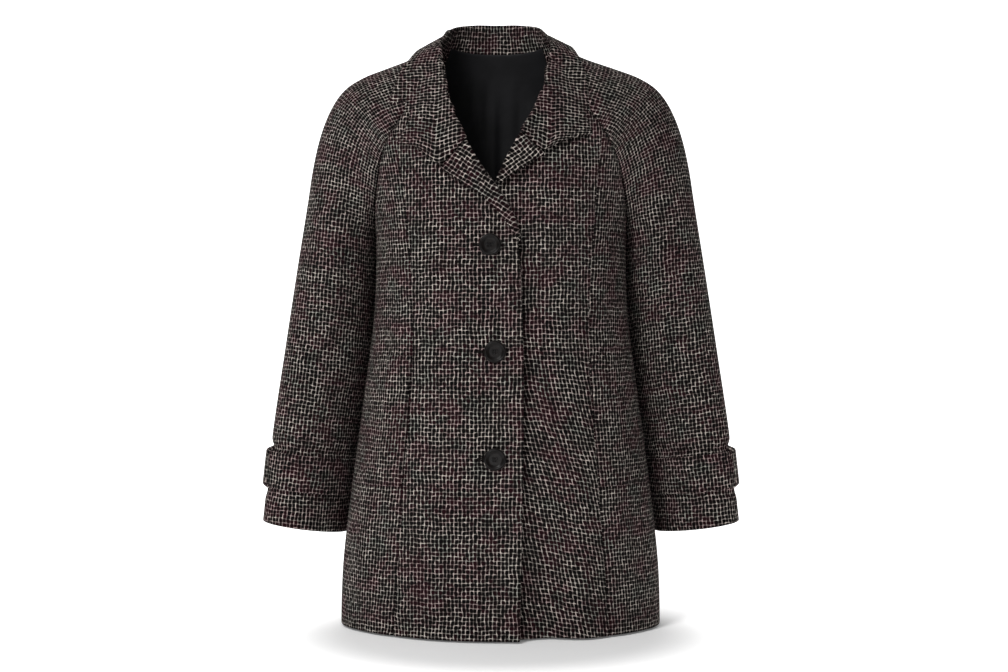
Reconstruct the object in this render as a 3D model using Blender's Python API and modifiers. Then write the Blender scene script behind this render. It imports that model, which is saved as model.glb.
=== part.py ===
import math

import bpy
import numpy as np
from mathutils import Matrix, Vector
from mathutils.bvhtree import BVHTree

# Frame: metres, X to the viewer's right, the front faces -Y, Z up.
# The origin is the middle of the neck at the height where the shoulders begin.

# Cloth walls and seams
TWEED = 0.0026
STAND_WALL = 0.0028
LINING_WALL = 0.0010
SEAM = 0.0003
LYING_GAP = 0.0005

# Openings left by the side and underarm seams, as angles
SIDE_SEAM = SEAM / 2 / 0.17
UNDERARM_SEAM = SEAM / 0.12
SLEEVE_MIDDLE = 0.23
NEARLY = 1e-6

# Heights that several pieces share
HEM = -0.7815
BREAK = -0.2726
UNDER_HEM_LIFT = 0.0008
NECK_BACK = 0.002
PANEL_JOIN = 0.45
PANEL_TIP = 0.014
PANEL_TIP_CLEAR = 0.004

# How finely the sheets are divided
LOWER_ROWS = 13
STATIONS = (0.0, 0.10, 0.20, 0.30, 0.38, 0.45, 0.50, 0.56, 0.63, 0.70, 0.78, 0.85, 0.91, 0.955,
            0.985, 1.0)
FRONT_COLUMNS = 9
SIDE_COLUMNS = 5
BACK_COLUMNS = 18
SLEEVE_COLUMNS = 18
SLEEVE_ROWS = 11
FOLD_STEPS = 3
LAPEL_SHARES = (0.2, 0.4, 0.6, 0.8, 1.0)
COLLAR_SHARES = (0.10, 0.21, 0.33, 0.43, 0.62, 0.81, 1.0)

# Lapped front
LAP_DROP = 0.0038
LAP_FULL = 0.034
LAP_NONE = 0.075

# Buttons
BUTTON_SEGMENTS = 20
BUTTON_SEAT = 0.004
BUTTON_MERGE = 0.00005

# Cuff straps and the loops that hold them
STRAP_TOP = 1.785
STRAP_BOTTOM = 1.893
STRAP_WALL = 0.0026
LOOP_TOP = 1.774
LOOP_BOTTOM = 1.904
LOOP_WALL = 0.0018
LOOP_RISE = 0.0040
LOOP_ARCH = 0.016
LOOP_FROM = 0.468
LOOP_TO = 0.510
LOOP_COLUMNS = 4
LOOP_ROWS = 8

# Pocket welts
WELT_TOP = -0.420
WELT_BOTTOM = -0.589
WELT_TOP_WIDTH = 0.031
WELT_BOTTOM_WIDTH = 0.035
WELT_INSET = 0.0012
WELT_WALL = 0.0028
WELT_ROWS = 7
WELT_COLUMNS = 3

# Back lining
LINING_RISE = 0.0030
LINING_GAP = 0.0019
LINING_FOOT = -0.745
LINING_SPAN = math.radians(78)
LINING_INSET = math.radians(4.6)
LINING_ROWS = 15
LINING_COLUMNS = 16
PLEAT_DEPTH = 0.006
PLEAT_HALF = 0.014
PLEAT_X = -0.008


def columns(names, rows):
    return dict(zip(names.split(), np.array(rows, float).T))


# Level rings of the body: the sleeves cover the sides of the upper ones
TRUNK = columns("height half_width front_depth back_depth squareness shift", (
    (-0.800, 0.2160, 0.1720, 0.1690, 1.98, 0.000),
    (-0.700, 0.2130, 0.1675, 0.1640, 2.16, 0.000),
    (-0.620, 0.2050, 0.1610, 0.1560, 2.20, 0.000),
    (-0.482, 0.1870, 0.1510, 0.1400, 2.28, 0.000),
    (-0.346, 0.1710, 0.1420, 0.1260, 2.36, 0.000),
    (-0.260, 0.1700, 0.1390, 0.1220, 2.40, 0.000),
    (-0.200, 0.1720, 0.1330, 0.1240, 2.40, -0.001),
    (-0.140, 0.1660, 0.1200, 0.1220, 2.40, -0.003),
    (-0.100, 0.1500, 0.1040, 0.1140, 2.40, -0.004),
    (-0.060, 0.1260, 0.0830, 0.1010, 2.36, -0.005),
    (-0.030, 0.1010, 0.0660, 0.0890, 2.30, -0.006),
    (0.005, 0.0790, 0.0500, 0.0730, 2.20, -0.006),
))

# Soft standing folds of the skirt: where they stand, how wide, how deep, where they fade
SKIRT_FOLDS = columns("angle_deg spread_deg depth fade_height", (
    (-118, 13, -0.0050, -0.44),
    (-74, 11, 0.0040, -0.50),
    (-38, 12, -0.0028, -0.56),
    (33, 12, -0.0030, -0.54),
    (70, 11, 0.0040, -0.48),
    (112, 14, -0.0052, -0.42),
    (150, 13, 0.0040, -0.46),
    (182, 12, -0.0040, -0.50),
    (214, 12, 0.0040, -0.44),
))

# Raglan seams from neck to underarm, reaching a share of the body's half width
RAGLAN = columns("along front_height front_reach back_height back_reach", (
    (0.00, -0.030, 0.750, -0.004, 0.850),
    (0.15, -0.060, 0.770, -0.030, 0.800),
    (0.30, -0.092, 0.810, -0.062, 0.800),
    (0.45, -0.122, 0.860, -0.100, 0.840),
    (0.60, -0.150, 0.905, -0.138, 0.880),
    (0.72, -0.180, 0.935, -0.172, 0.915),
    (0.84, -0.215, 0.965, -0.210, 0.960),
    (0.90, -0.234, 0.984, -0.231, 0.982),
    (0.95, -0.249, 0.9945, -0.248, 0.994),
    (1.00, -0.262, 1.000, -0.262, 1.000),
))

# Outer line of the sleeve from neck to cuff, how far the sleeve bulges past its seams and how round it is
OUTER = columns("along x height bulge forward shift roundness", (
    (0.00, 0.0850, 0.001, 0.000, 0.000, -0.005, 1.45),
    (0.15, 0.1180, -0.0125, 0.004, 0.000, -0.003, 1.50),
    (0.30, 0.1550, -0.027, 0.010, 0.000, -0.001, 1.62),
    (0.45, 0.1900, -0.043, 0.018, 0.000, 0.000, 1.80),
    (0.60, 0.2165, -0.064, 0.028, 0.000, 0.000, 1.92),
    (0.72, 0.2335, -0.091, 0.038, 0.000, 0.000, 2.00),
    (0.84, 0.2480, -0.131, 0.050, 0.000, 0.000, 2.00),
    (0.93, 0.2570, -0.173, 0.060, 0.000, 0.000, 2.00),
    (1.00, 0.2625, -0.210, 0.066, 0.000, 0.000, 2.00),
    (1.15, 0.2750, -0.288, 0.065, 0.000, 0.000, 2.00),
    (1.45, 0.2945, -0.416, 0.060, 0.002, 0.000, 2.00),
    (1.75, 0.3115, -0.534, 0.058, 0.005, 0.000, 2.00),
    (2.00, 0.3235, -0.645, 0.056, 0.008, 0.000, 2.00),
))

# Inner line of the sleeve from underarm to cuff, a little behind the middle and just clear of the body
INNER = columns("along x height back", (
    (1.00, 0.1700, -0.262, 0.000),
    (1.15, 0.1732, -0.318, 0.013),
    (1.45, 0.1818, -0.432, 0.026),
    (1.75, 0.1988, -0.548, 0.030),
    (2.00, 0.2120, -0.6645, 0.030),
))

# Seam between centre front and side front, as distance from the middle
PANEL_SEAM = columns("height reach", (
    (-0.800, 0.1430),
    (-0.594, 0.1265),
    (-0.426, 0.1150),
    (-0.284, 0.1190),
    (-0.200, 0.1270),
    (-0.122, 0.1376),
))

# Centre line of each front: its edge, then the base of the lapel's fold, then the neck seam
OPENING_LAPPED = columns("height x", (
    (-0.800, 0.0240),
    (-0.300, 0.0240),
    (-0.2726, 0.0220),
    (-0.2446, 0.0095),
    (-0.2216, -0.0050),
    (-0.1990, -0.0195),
    (-0.1705, -0.0400),
    (-0.1420, -0.0555),
    (-0.1200, -0.0610),
    (-0.0900, -0.0680),
    (-0.0600, -0.0740),
    (-0.0300, -0.0775),
))
OPENING_UNDER = columns("height x", (
    (-0.800, -0.0420),
    (-0.300, -0.0420),
    (-0.270, -0.0400),
    (-0.240, -0.0310),
    (-0.215, -0.0180),
    (-0.197, -0.0070),
    (-0.169, 0.0145),
    (-0.148, 0.0265),
    (-0.132, 0.0365),
    (-0.110, 0.0460),
    (-0.085, 0.0550),
    (-0.060, 0.0610),
    (-0.030, 0.0655),
))

# Lapels from break to gorge: the roll, how far it stands off, and the free edge
LAPEL_LAPPED = columns("along roll_x roll_height roll_out edge_x edge_height", (
    (0.00, 0.0243, -0.2830, 0.0012, 0.0236, -0.2832),
    (0.08, 0.0238, -0.2720, 0.0022, 0.0212, -0.2732),
    (0.20, 0.0195, -0.2550, 0.0042, 0.0118, -0.2580),
    (0.30, 0.0145, -0.2405, 0.0050, 0.0035, -0.2455),
    (0.55, -0.0060, -0.2055, 0.0065, -0.0250, -0.2155),
    (0.77, -0.0285, -0.1740, 0.0080, -0.0540, -0.1965),
    (1.00, -0.0465, -0.1425, 0.0090, -0.0784, -0.1785),
))
LAPEL_UNDER = columns("along roll_x roll_height roll_out edge_x edge_height", (
    (0.00, -0.0075, -0.2030, 0.0020, -0.0050, -0.2045),
    (0.10, -0.0045, -0.1955, 0.0032, 0.0010, -0.1985),
    (0.40, 0.0045, -0.1745, 0.0050, 0.0155, -0.1860),
    (0.70, 0.0150, -0.1530, 0.0070, 0.0360, -0.1740),
    (1.00, 0.0270, -0.1315, 0.0090, 0.0567, -0.1595),
))
LAPPED_GORGE = 0.56
UNDER_GORGE = 0.50
LAPEL_EDGE_OUT = 0.0012

# Collar from the centre back to its front end: the roll line and the outer edge of the fall
COLLAR_LAPPED = columns("along roll_x roll_y roll_height edge_x edge_y edge_height", (
    (0.00, -0.006, 0.0790, 0.0435, -0.006, 0.1060, -0.0220),
    (0.12, -0.037, 0.0735, 0.0430, -0.052, 0.0980, -0.0240),
    (0.25, -0.064, 0.0500, 0.0360, -0.088, 0.0660, -0.0160),
    (0.38, -0.0750, 0.0140, 0.0205, -0.1030, 0.0150, -0.0030),
    (0.44, -0.0765, -0.0040, 0.0110, -0.1090, -0.0090, -0.0120),
    (0.50, -0.0770, -0.0220, -0.0010, -0.1225, -0.0300, -0.0280),
    (0.57, -0.0750, -0.0470, -0.0250, -0.1310, -0.0420, -0.0450),
    (0.62, -0.0717, -0.0630, -0.0405, -0.1365, -0.0520, -0.0580),
    (0.75, -0.0645, -0.0905, -0.0765, -0.1470, -0.0680, -0.0900),
    (0.88, -0.0548, -0.1115, -0.1115, -0.1550, -0.0780, -0.1180),
    (1.00, -0.0465, -0.1280, -0.1406, -0.1620, -0.0820, -0.1405),
))
COLLAR_UNDER = columns("along roll_x roll_y roll_height edge_x edge_y edge_height", (
    (0.00, -0.006, 0.0790, 0.0435, -0.006, 0.1060, -0.0220),
    (0.12, 0.025, 0.0735, 0.0430, 0.040, 0.0980, -0.0240),
    (0.25, 0.052, 0.0500, 0.0360, 0.076, 0.0660, -0.0160),
    (0.38, 0.0600, 0.0140, 0.0205, 0.0860, 0.0150, -0.0030),
    (0.44, 0.0625, -0.0040, 0.0110, 0.0920, -0.0090, -0.0110),
    (0.50, 0.0640, -0.0220, -0.0010, 0.1030, -0.0300, -0.0250),
    (0.57, 0.0625, -0.0470, -0.0245, 0.1090, -0.0450, -0.0410),
    (0.62, 0.0597, -0.0625, -0.0395, 0.1130, -0.0560, -0.0540),
    (0.75, 0.0520, -0.0890, -0.0725, 0.1165, -0.0740, -0.0850),
    (0.88, 0.0402, -0.1090, -0.1030, 0.1190, -0.0880, -0.1100),
    (1.00, 0.0270, -0.1260, -0.1296, 0.1210, -0.0960, -0.1306),
))

# Front end of the collar, from the roll past the gorge to the point
COLLAR_END_LAPPED = columns("across x height", (
    (0.00, -0.0465, -0.1402),
    (0.32, -0.0780, -0.1770),
    (0.42, -0.0880, -0.1690),
    (0.62, -0.1085, -0.1500),
    (0.80, -0.1350, -0.1405),
    (1.00, -0.1620, -0.1405),
))
COLLAR_END_UNDER = columns("across x height", (
    (0.00, 0.0270, -0.1292),
    (0.36, 0.0560, -0.1580),
    (0.46, 0.0640, -0.1500),
    (0.70, 0.0923, -0.1375),
    (0.85, 0.1070, -0.1335),
    (1.00, 0.1210, -0.1306),
))
COLLAR_END_FROM = 0.50
GORGE_GAP = 0.0022
COLLAR_SEAM = 0.0009
NECK_CORNER_LIFT = 0.0014
COLLAR_REST = 0.0018
COLLAR_NEAR_ROLL = 0.0012
COLLAR_EASINGS = 4
COLLAR_LAID = 0.2
COLLAR_ROLL = 0.0055
COLLAR_LIFT = 0.004
LAPEL_ROLL = 0.0030
LAPEL_LIFT = 0.001
LAPEL_START = 0.004
RISE_PULL = 0.55
FALL_PULL = 0.62

BUTTONS = columns("x height", (
    (-0.0140, -0.2780),
    (-0.0076, -0.4153),
    (-0.0076, -0.5520),
))

# Button in section, from the back centre to the face centre
BUTTON_PROFILE = (
    (0.0000, 0.0000), (0.0105, 0.0000), (0.0130, 0.0010), (0.0135, 0.0024),
    (0.0128, 0.0038), (0.0112, 0.0042), (0.0098, 0.0036), (0.0080, 0.0026), (0.0000, 0.0024),
)

TWEED_COLOUR = (0.060, 0.050, 0.052, 1.0)
LINING_COLOUR = (0.012, 0.012, 0.014, 1.0)
BUTTON_COLOUR = (0.020, 0.015, 0.013, 1.0)
TWEED_ROUGHNESS = 0.9
LINING_ROUGHNESS = 0.5
BUTTON_ROUGHNESS = 0.35


def smooth(table, key, name, at):
    keys, values = table[key], table[name]
    slopes = np.gradient(values, keys)
    at = np.clip(np.asarray(at, float), keys[0], keys[-1])
    low = np.clip(np.searchsorted(keys, at) - 1, 0, len(keys) - 2)
    step = keys[low + 1] - keys[low]
    t = (at - keys[low]) / step
    start, end = values[low], values[low + 1]
    return (start * (1 + 2 * t) * (1 - t) ** 2 + end * t * t * (3 - 2 * t)
            + step * (slopes[low] * t * (1 - t) ** 2 + slopes[low + 1] * t * t * (t - 1)))


def straight(table, key, name, at):
    return np.interp(at, table[key], table[name])


def ease(value):
    value = np.clip(value, 0.0, 1.0)
    return value * value * (3 - 2 * value)


def unit(vectors):
    return vectors / np.maximum(np.linalg.norm(vectors, axis=-1, keepdims=True), 1e-9)


def trunk_sizes(height):
    names = ("half_width", "front_depth", "back_depth", "squareness", "shift")
    return [smooth(TRUNK, "height", name, height) for name in names]


def skirt_fold(angle, height):
    total = np.zeros(np.broadcast(angle, height).shape)
    for place, spread, depth, fade in zip(*SKIRT_FOLDS.values()):
        away = (angle - math.radians(place) + math.pi) % (2 * math.pi) - math.pi
        rise = ease((fade - height) / (fade - HEM))
        total = total + depth * rise * np.exp(-(away / math.radians(spread)) ** 2)
    return total


def trunk(angle, height):
    half, front, back, square, shift = trunk_sizes(height)
    angle, height = np.broadcast_arrays(angle, height)
    sine, cosine = np.sin(angle), np.cos(angle)
    power = 2.0 / square
    fold = skirt_fold(angle, height)
    depth = np.where(cosine > 0, front, back) + fold
    x = shift + (half + fold) * np.sign(sine) * np.abs(sine) ** power
    y = -depth * np.sign(cosine) * np.abs(cosine) ** power
    return np.stack([x, y, height], axis=-1)


def angle_at(x, height):
    half, _, _, square, shift = trunk_sizes(height)
    share = np.clip(np.abs(x - shift) / half, 0.0, 1.0)
    return np.sign(x - shift) * np.arcsin(share ** (square / 2.0))


def front_at(x, height, out):
    point = trunk(angle_at(x, height), height)
    return point + np.array([0.0, -1.0, 0.0]) * np.asarray(out)[..., None]


def lap_drop(side, x):
    return LAP_DROP * ease((LAP_NONE - x) / (LAP_NONE - LAP_FULL)) * (1.0 if side > 0 else 0.0)


def grid_normals(grid, toward, column=None):
    normals = unit(np.cross(np.gradient(grid, axis=0), np.gradient(grid, axis=1)))
    middle = (grid.shape[0] // 2, grid.shape[1] // 2 if column is None else column)
    return normals * np.sign(np.dot(normals[middle], toward))


def grid_faces(rows, cols, wrap=False):
    faces = []
    for r in range(rows - 1):
        for c in range(cols if wrap else cols - 1):
            d = (c + 1) % cols
            faces.append((r * cols + c, r * cols + d, (r + 1) * cols + d, (r + 1) * cols + c))
    return faces


def turned_out(points, faces, normals):
    a, b, _, d = faces[len(faces) // 2]
    facing = np.dot(np.cross(points[b] - points[a], points[d] - points[a]), normals[a])
    return [tuple(reversed(face)) for face in faces] if facing < 0 else faces


def front_heights():
    lower = np.linspace(HEM, BREAK, LOWER_ROWS)
    upper = smooth(RAGLAN, "along", "front_height", STATIONS[::-1])
    return np.concatenate([lower, upper])


def back_heights():
    lower = np.linspace(HEM, BREAK, LOWER_ROWS)
    upper = smooth(RAGLAN, "along", "back_height", STATIONS[::-1])
    return np.concatenate([lower, upper])


def seam_reach(which, height):
    order = np.argsort(RAGLAN[which + "_height"])
    table = {name: values[order] for name, values in RAGLAN.items()}
    return np.where(height < table[which + "_height"][0], 1.0,
                    smooth(table, which + "_height", which + "_reach", height))


def seam_x(which, side, height):
    half, _, _, _, shift = trunk_sizes(height)
    return shift + side * half * seam_reach(which, height)


def panel_x(side, height):
    shift = trunk_sizes(height)[4]
    return shift + side * smooth(PANEL_SEAM, "height", "reach", height)


def front_panel(side):
    lapped = side < 0
    opening = OPENING_LAPPED if lapped else OPENING_UNDER
    heights = front_heights()
    join = float(smooth(RAGLAN, "along", "front_height", PANEL_JOIN))
    outer = np.where(heights < join - NEARLY, panel_x(side, heights), seam_x("front", side, heights))
    outer = outer - side * SEAM / 2
    inner = smooth(opening, "height", "x", heights)
    share = np.linspace(0.0, 1.0, FRONT_COLUMNS + 1)
    start, end = angle_at(outer, heights)[:, None], angle_at(inner, heights)[:, None]
    levels = np.repeat(heights[:, None], FRONT_COLUMNS + 1, axis=1)
    if not lapped:
        levels[0] = levels[0] + UNDER_HEM_LIFT * share
    grid = trunk(start + (end - start) * share, levels)
    grid[..., 1] += lap_drop(side, grid[..., 0])
    return heights, grid


def bezier(points, shares):
    t = np.asarray(shares)[:, None]
    a, b, c, d = points
    return a * (1 - t) ** 3 + 3 * b * t * (1 - t) ** 2 + 3 * c * t * t * (1 - t) + d * t ** 3


def fold_section(base, roll, edge, radius, lift, shares):
    along = unit(roll - (base + edge) / 2)
    across = edge - base
    out = unit(across - along * np.dot(across, along))
    steps = np.linspace(0.0, 1.0, FOLD_STEPS + 1)[1:]
    rise = bezier((base, base + (roll - base) * RISE_PULL, roll - out * radius, roll), steps)
    fall = bezier((roll, roll + out * radius, edge + (roll - edge) * FALL_PULL + out * lift, edge), shares)
    return np.concatenate([rise, fall])


def lapel_rows(side, heights, grid):
    lapped = side < 0
    table, gorge = (LAPEL_LAPPED, LAPPED_GORGE) if lapped else (LAPEL_UNDER, UNDER_GORGE)
    top = float(smooth(RAGLAN, "along", "front_height", gorge))
    foot = float(table["roll_height"][0])
    rows = [r for r, h in enumerate(heights) if foot + LAPEL_START < h < top + NEARLY]
    strips = []
    for r in rows:
        t = (heights[r] - foot) / (top - foot)
        roll_x, roll_h, roll_out, edge_x, edge_h = (
            float(smooth(table, "along", name, t))
            for name in ("roll_x", "roll_height", "roll_out", "edge_x", "edge_height"))
        drop = float(lap_drop(side, roll_x))
        roll = front_at(roll_x, roll_h, roll_out - drop)
        edge = front_at(edge_x, edge_h, LAPEL_EDGE_OUT - float(lap_drop(side, edge_x)))
        strips.append(fold_section(grid[r, -1], roll, edge, LAPEL_ROLL, LAPEL_LIFT, LAPEL_SHARES))
    return rows, np.array(strips)


def side_panel(side):
    heights = front_heights()
    join = float(smooth(RAGLAN, "along", "front_height", PANEL_JOIN + PANEL_TIP))
    heights = np.append(heights[heights < join - PANEL_TIP_CLEAR], join)
    inner = panel_x(side, heights) + side * SEAM / 2
    inner[-1] += side * SEAM
    outer = seam_x("front", side, heights) - side * SEAM / 2
    share = np.linspace(0.0, 1.0, SIDE_COLUMNS + 1)
    start, end = angle_at(inner, heights)[:, None], angle_at(outer, heights)[:, None]
    below = (heights <= BREAK + NEARLY)[:, None]
    end = np.where(below, side * (math.pi / 2 - SIDE_SEAM), end)
    return trunk(start + (end - start) * share, np.repeat(heights[:, None], SIDE_COLUMNS + 1, axis=1))


def back_panel():
    heights = back_heights()
    share = np.linspace(-1.0, 1.0, BACK_COLUMNS + 1)
    reach = angle_at(seam_x("back", 1, heights) - SEAM / 2, heights)
    reach = np.where(heights <= BREAK + NEARLY, math.pi / 2 - SIDE_SEAM, reach)
    levels = np.repeat(heights[:, None], BACK_COLUMNS + 1, axis=1)
    levels[-1] = NECK_BACK + (heights[-1] - NECK_BACK) * share ** 2
    grid = trunk(math.pi - reach[:, None] * share, levels)
    return grid


def seam_point(which, side, along):
    height = float(smooth(RAGLAN, "along", which + "_height", along))
    angle = float(angle_at(seam_x(which, side, height), height))
    if which == "back":
        angle = side * math.pi - angle
    return trunk(np.array(angle), np.array(height))


def sleeve_half(seam, outer, size, facing, share, closed):
    power = 2.0 / size["roundness"]
    if closed:
        depth, first, axis = size["bulge"], UNDERARM_SEAM, (outer - seam) / 2
    else:
        reach = abs(seam[1] - outer[1])
        depth = math.hypot(reach, size["bulge"])
        start = math.asin(min(reach / depth, 1.0) ** (1 / power))
        first = max(start, UNDERARM_SEAM)
        axis = (outer - seam) * np.array([1.0, 0.0, 1.0]) / (1 + math.cos(start) ** power)
    turn = first + (math.pi - first) * share
    cosine = np.sign(np.cos(turn)) * np.abs(np.cos(turn)) ** power
    sweep = np.array([0.0, facing, 0.0]) * depth
    return outer - axis - axis * cosine[:, None] + sweep * np.sin(turn)[:, None] ** power


def sleeve_section(side, along, share):
    size = {name: float(smooth(OUTER, "along", name, along)) for name in OUTER}
    outer = np.array([side * size["x"] + size["shift"], -size["forward"], size["height"]])
    if along <= 1.0:
        seams = {which: seam_point(which, side, along) for which in ("front", "back")}
        seams = {which: point + unit(outer - point) * SEAM for which, point in seams.items()}
    else:
        x, height, back = (float(smooth(INNER, "along", name, along)) for name in ("x", "height", "back"))
        seams = dict.fromkeys(("front", "back"), np.array([side * x, back, height]))
    halves = []
    turns = ("front", -1.0, share[share <= 0.5]), ("back", 1.0, 1 - share[share > 0.5])
    for which, facing, turn in turns:
        halves.append(sleeve_half(seams[which], outer, size, facing, turn * 2, along > 1.0))
    return np.concatenate(halves)


def sleeve_stations():
    return np.concatenate([STATIONS, 1 + np.linspace(0, 1, SLEEVE_ROWS + 1)[1:]])


def sleeve_grid(side, stations, share):
    return np.array([sleeve_section(side, along, share) for along in stations])


def outward(side, grid):
    centre = np.array([side * SLEEVE_MIDDLE, 0.0, 0.0])
    middle = grid[grid.shape[0] // 2, grid.shape[1] // 2]
    return (middle - centre) * np.array([1.0, 1.0, 0.0])


def shares_along(points):
    lengths = np.concatenate([[0.0], np.cumsum(np.linalg.norm(np.diff(points, axis=0), axis=1))])
    return lengths / lengths[-1]


def neck_line(side, back, sleeve, heights, front):
    gorge = LAPPED_GORGE if side < 0 else UNDER_GORGE
    top = float(smooth(RAGLAN, "along", "front_height", gorge))
    half = BACK_COLUMNS // 2
    back_part = back[-1, half:] if side > 0 else back[-1, half::-1]
    front_part = front[heights > top - NEARLY, -1][::-1].copy()
    front_part[-1] += unit(front_part[-2] - front_part[-1]) * GORGE_GAP
    corner = (back_part[-1] + sleeve[0, -1]) / 2
    line = np.concatenate([back_part[:-1], [corner], sleeve[0, -2::-1], front_part])
    turn = len(line) - len(front_part)
    line[turn - 1:turn + 1, 2] += NECK_CORNER_LIFT
    return line


def rest_on(tree, point, gap, pull):
    spot, normal, _, _ = tree.find_nearest(Vector(point))
    normal = np.array(normal)
    height = float(np.dot(point - np.array(spot), normal))
    wanted = gap if height < gap else height + (gap - height) * pull
    return point + normal * (wanted - height)


def collar_section(table, along, base):
    names = ("roll_x", "roll_y", "roll_height", "edge_x", "edge_y", "edge_height")
    sizes = np.array([float(smooth(table, "along", name, along)) for name in names])
    roll, edge = sizes[:3], sizes[3:]
    base = base + unit(roll - base) * COLLAR_SEAM
    fold = fold_section(base, roll, edge, COLLAR_ROLL, COLLAR_LIFT, COLLAR_SHARES)
    return np.concatenate([base[None], fold])


def collar_half(side, base_line, tree):
    table, end = (COLLAR_LAPPED, COLLAR_END_LAPPED) if side < 0 else (COLLAR_UNDER, COLLAR_END_UNDER)
    stations = shares_along(base_line)
    shares = np.array(COLLAR_SHARES)
    last = collar_section(table, 1.0, base_line[-1])[FOLD_STEPS + 1:]
    move = np.zeros_like(last)
    move[:, 0] = straight(end, "across", "x", shares) - last[:, 0]
    move[:, 2] = straight(end, "across", "height", shares) - last[:, 2]
    rows = []
    for along, base in zip(stations, base_line):
        section = collar_section(table, along, base)
        blend = float(ease((along - COLLAR_END_FROM) / (1 - COLLAR_END_FROM))) ** 2
        for k, share in enumerate(shares):
            point = section[FOLD_STEPS + 1 + k] + move[k] * blend
            pull = max(COLLAR_LAID + (1 - COLLAR_LAID) * share, blend)
            section[FOLD_STEPS + 1 + k] = rest_on(tree, point, COLLAR_REST, pull)
        rows.append(section)
    grid = np.array(rows)
    fall = slice(FOLD_STEPS + 1, None)
    for _ in range(COLLAR_EASINGS):
        grid[1:-1, fall] = (grid[:-2, fall] + 2 * grid[1:-1, fall] + grid[2:, fall]) / 4
    for row in grid:
        for k in range(1, len(row)):
            share = max(k - FOLD_STEPS, 0) / len(shares)
            row[k] = rest_on(tree, row[k], COLLAR_REST + COLLAR_NEAR_ROLL * (1 - share), 0.0)
    return grid


def welt_grid(side):
    heights = np.linspace(WELT_BOTTOM, WELT_TOP, WELT_ROWS + 1)
    rise = (heights - WELT_BOTTOM) / (WELT_TOP - WELT_BOTTOM)
    width = WELT_BOTTOM_WIDTH + (WELT_TOP_WIDTH - WELT_BOTTOM_WIDTH) * rise
    inner = panel_x(side, heights) + side * WELT_INSET
    start, end = angle_at(inner, heights)[:, None], angle_at(inner + side * width, heights)[:, None]
    share = np.linspace(0.0, 1.0, WELT_COLUMNS + 1)
    levels = np.repeat(heights[:, None], WELT_COLUMNS + 1, axis=1)
    return trunk(start + (end - start) * share, levels)


def lining_grid():
    heights = np.linspace(LINING_FOOT, RAGLAN["back_height"][0] + LINING_RISE, LINING_ROWS + 1)
    share = np.linspace(-1.0, 1.0, LINING_COLUMNS + 1)
    reach = angle_at(seam_x("back", 1, heights), heights) - LINING_INSET
    reach = np.where(heights <= BREAK + NEARLY, LINING_SPAN, np.minimum(reach, LINING_SPAN))
    angles = math.pi - reach[:, None] * share
    levels = np.repeat(heights[:, None], LINING_COLUMNS + 1, axis=1)
    levels[-1] += (NECK_BACK - RAGLAN["back_height"][0]) * (1 - share ** 2)
    grid = trunk(angles, levels)
    normals = grid_normals(grid, np.array([0.0, 1.0, 0.0]))
    pleat = PLEAT_DEPTH * np.exp(-((grid[..., 0] - PLEAT_X) / PLEAT_HALF) ** 2)
    return grid - normals * (TWEED + LINING_GAP + pleat[..., None]), normals


def material(name, colour, roughness):
    made = bpy.data.materials.new(name)
    made.use_nodes = True
    shader = made.node_tree.nodes["Principled BSDF"]
    shader.inputs["Base Color"].default_value = colour
    shader.inputs["Roughness"].default_value = roughness
    return made


def add_mesh(name, vertices, faces, colour, roughness):
    mesh = bpy.data.meshes.new(name)
    mesh.from_pydata([tuple(v) for v in vertices], [], faces)
    mesh.validate()
    made = bpy.data.objects.new(name, mesh)
    coat.objects.link(made)
    mesh.materials.append(material(name, colour, roughness))
    return made


def add_sheet(name, points, faces, normals, wall, colour=TWEED_COLOUR, roughness=TWEED_ROUGHNESS):
    points, normals = points.reshape(-1, 3), normals.reshape(-1, 3)
    faces = turned_out(points, faces, normals)
    count = len(points)
    inner = [tuple(v + count for v in reversed(face)) for face in faces]
    directed = {(face[k], face[(k + 1) % len(face)]) for face in faces for k in range(len(face))}
    rim = [(v, u, u + count, v + count) for u, v in directed if (v, u) not in directed]
    rim.sort()
    vertices = np.concatenate([points, points - normals * wall])
    return add_mesh(name, vertices, faces + inner + rim, colour, roughness)


def share_normals(first, first_edge, second, second_edge):
    both = unit(first[first_edge] + second[second_edge])
    first[first_edge] = both
    second[second_edge] = both


def add_front(name, side, heights, grid, normals):
    rows, strips = lapel_rows(side, heights, grid)
    cols = grid.shape[1]
    wide = np.concatenate([grid[rows], strips], axis=1)
    wide_normals = grid_normals(wide, np.array([0.0, -1.0, 0.0]))
    fix = np.sign(np.sum(wide_normals[:, 1] * normals[rows][:, 1], axis=-1)).mean()
    wide_normals = wide_normals * fix
    normals[rows, -1] = wide_normals[:, cols - 1]
    faces = grid_faces(*grid.shape[:2])
    count = grid.shape[0] * cols
    width = strips.shape[1]
    for k in range(len(rows) - 1):
        low = [rows[k] * cols + cols - 1] + [count + k * width + c for c in range(width)]
        high = [rows[k + 1] * cols + cols - 1] + [count + (k + 1) * width + c for c in range(width)]
        faces += [(low[c], low[c + 1], high[c + 1], high[c]) for c in range(width)]
    points = np.concatenate([grid.reshape(-1, 3), strips.reshape(-1, 3)])
    every = np.concatenate([normals.reshape(-1, 3), wide_normals[:, cols:].reshape(-1, 3)])
    add_sheet(name, points, faces, every, TWEED)


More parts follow.
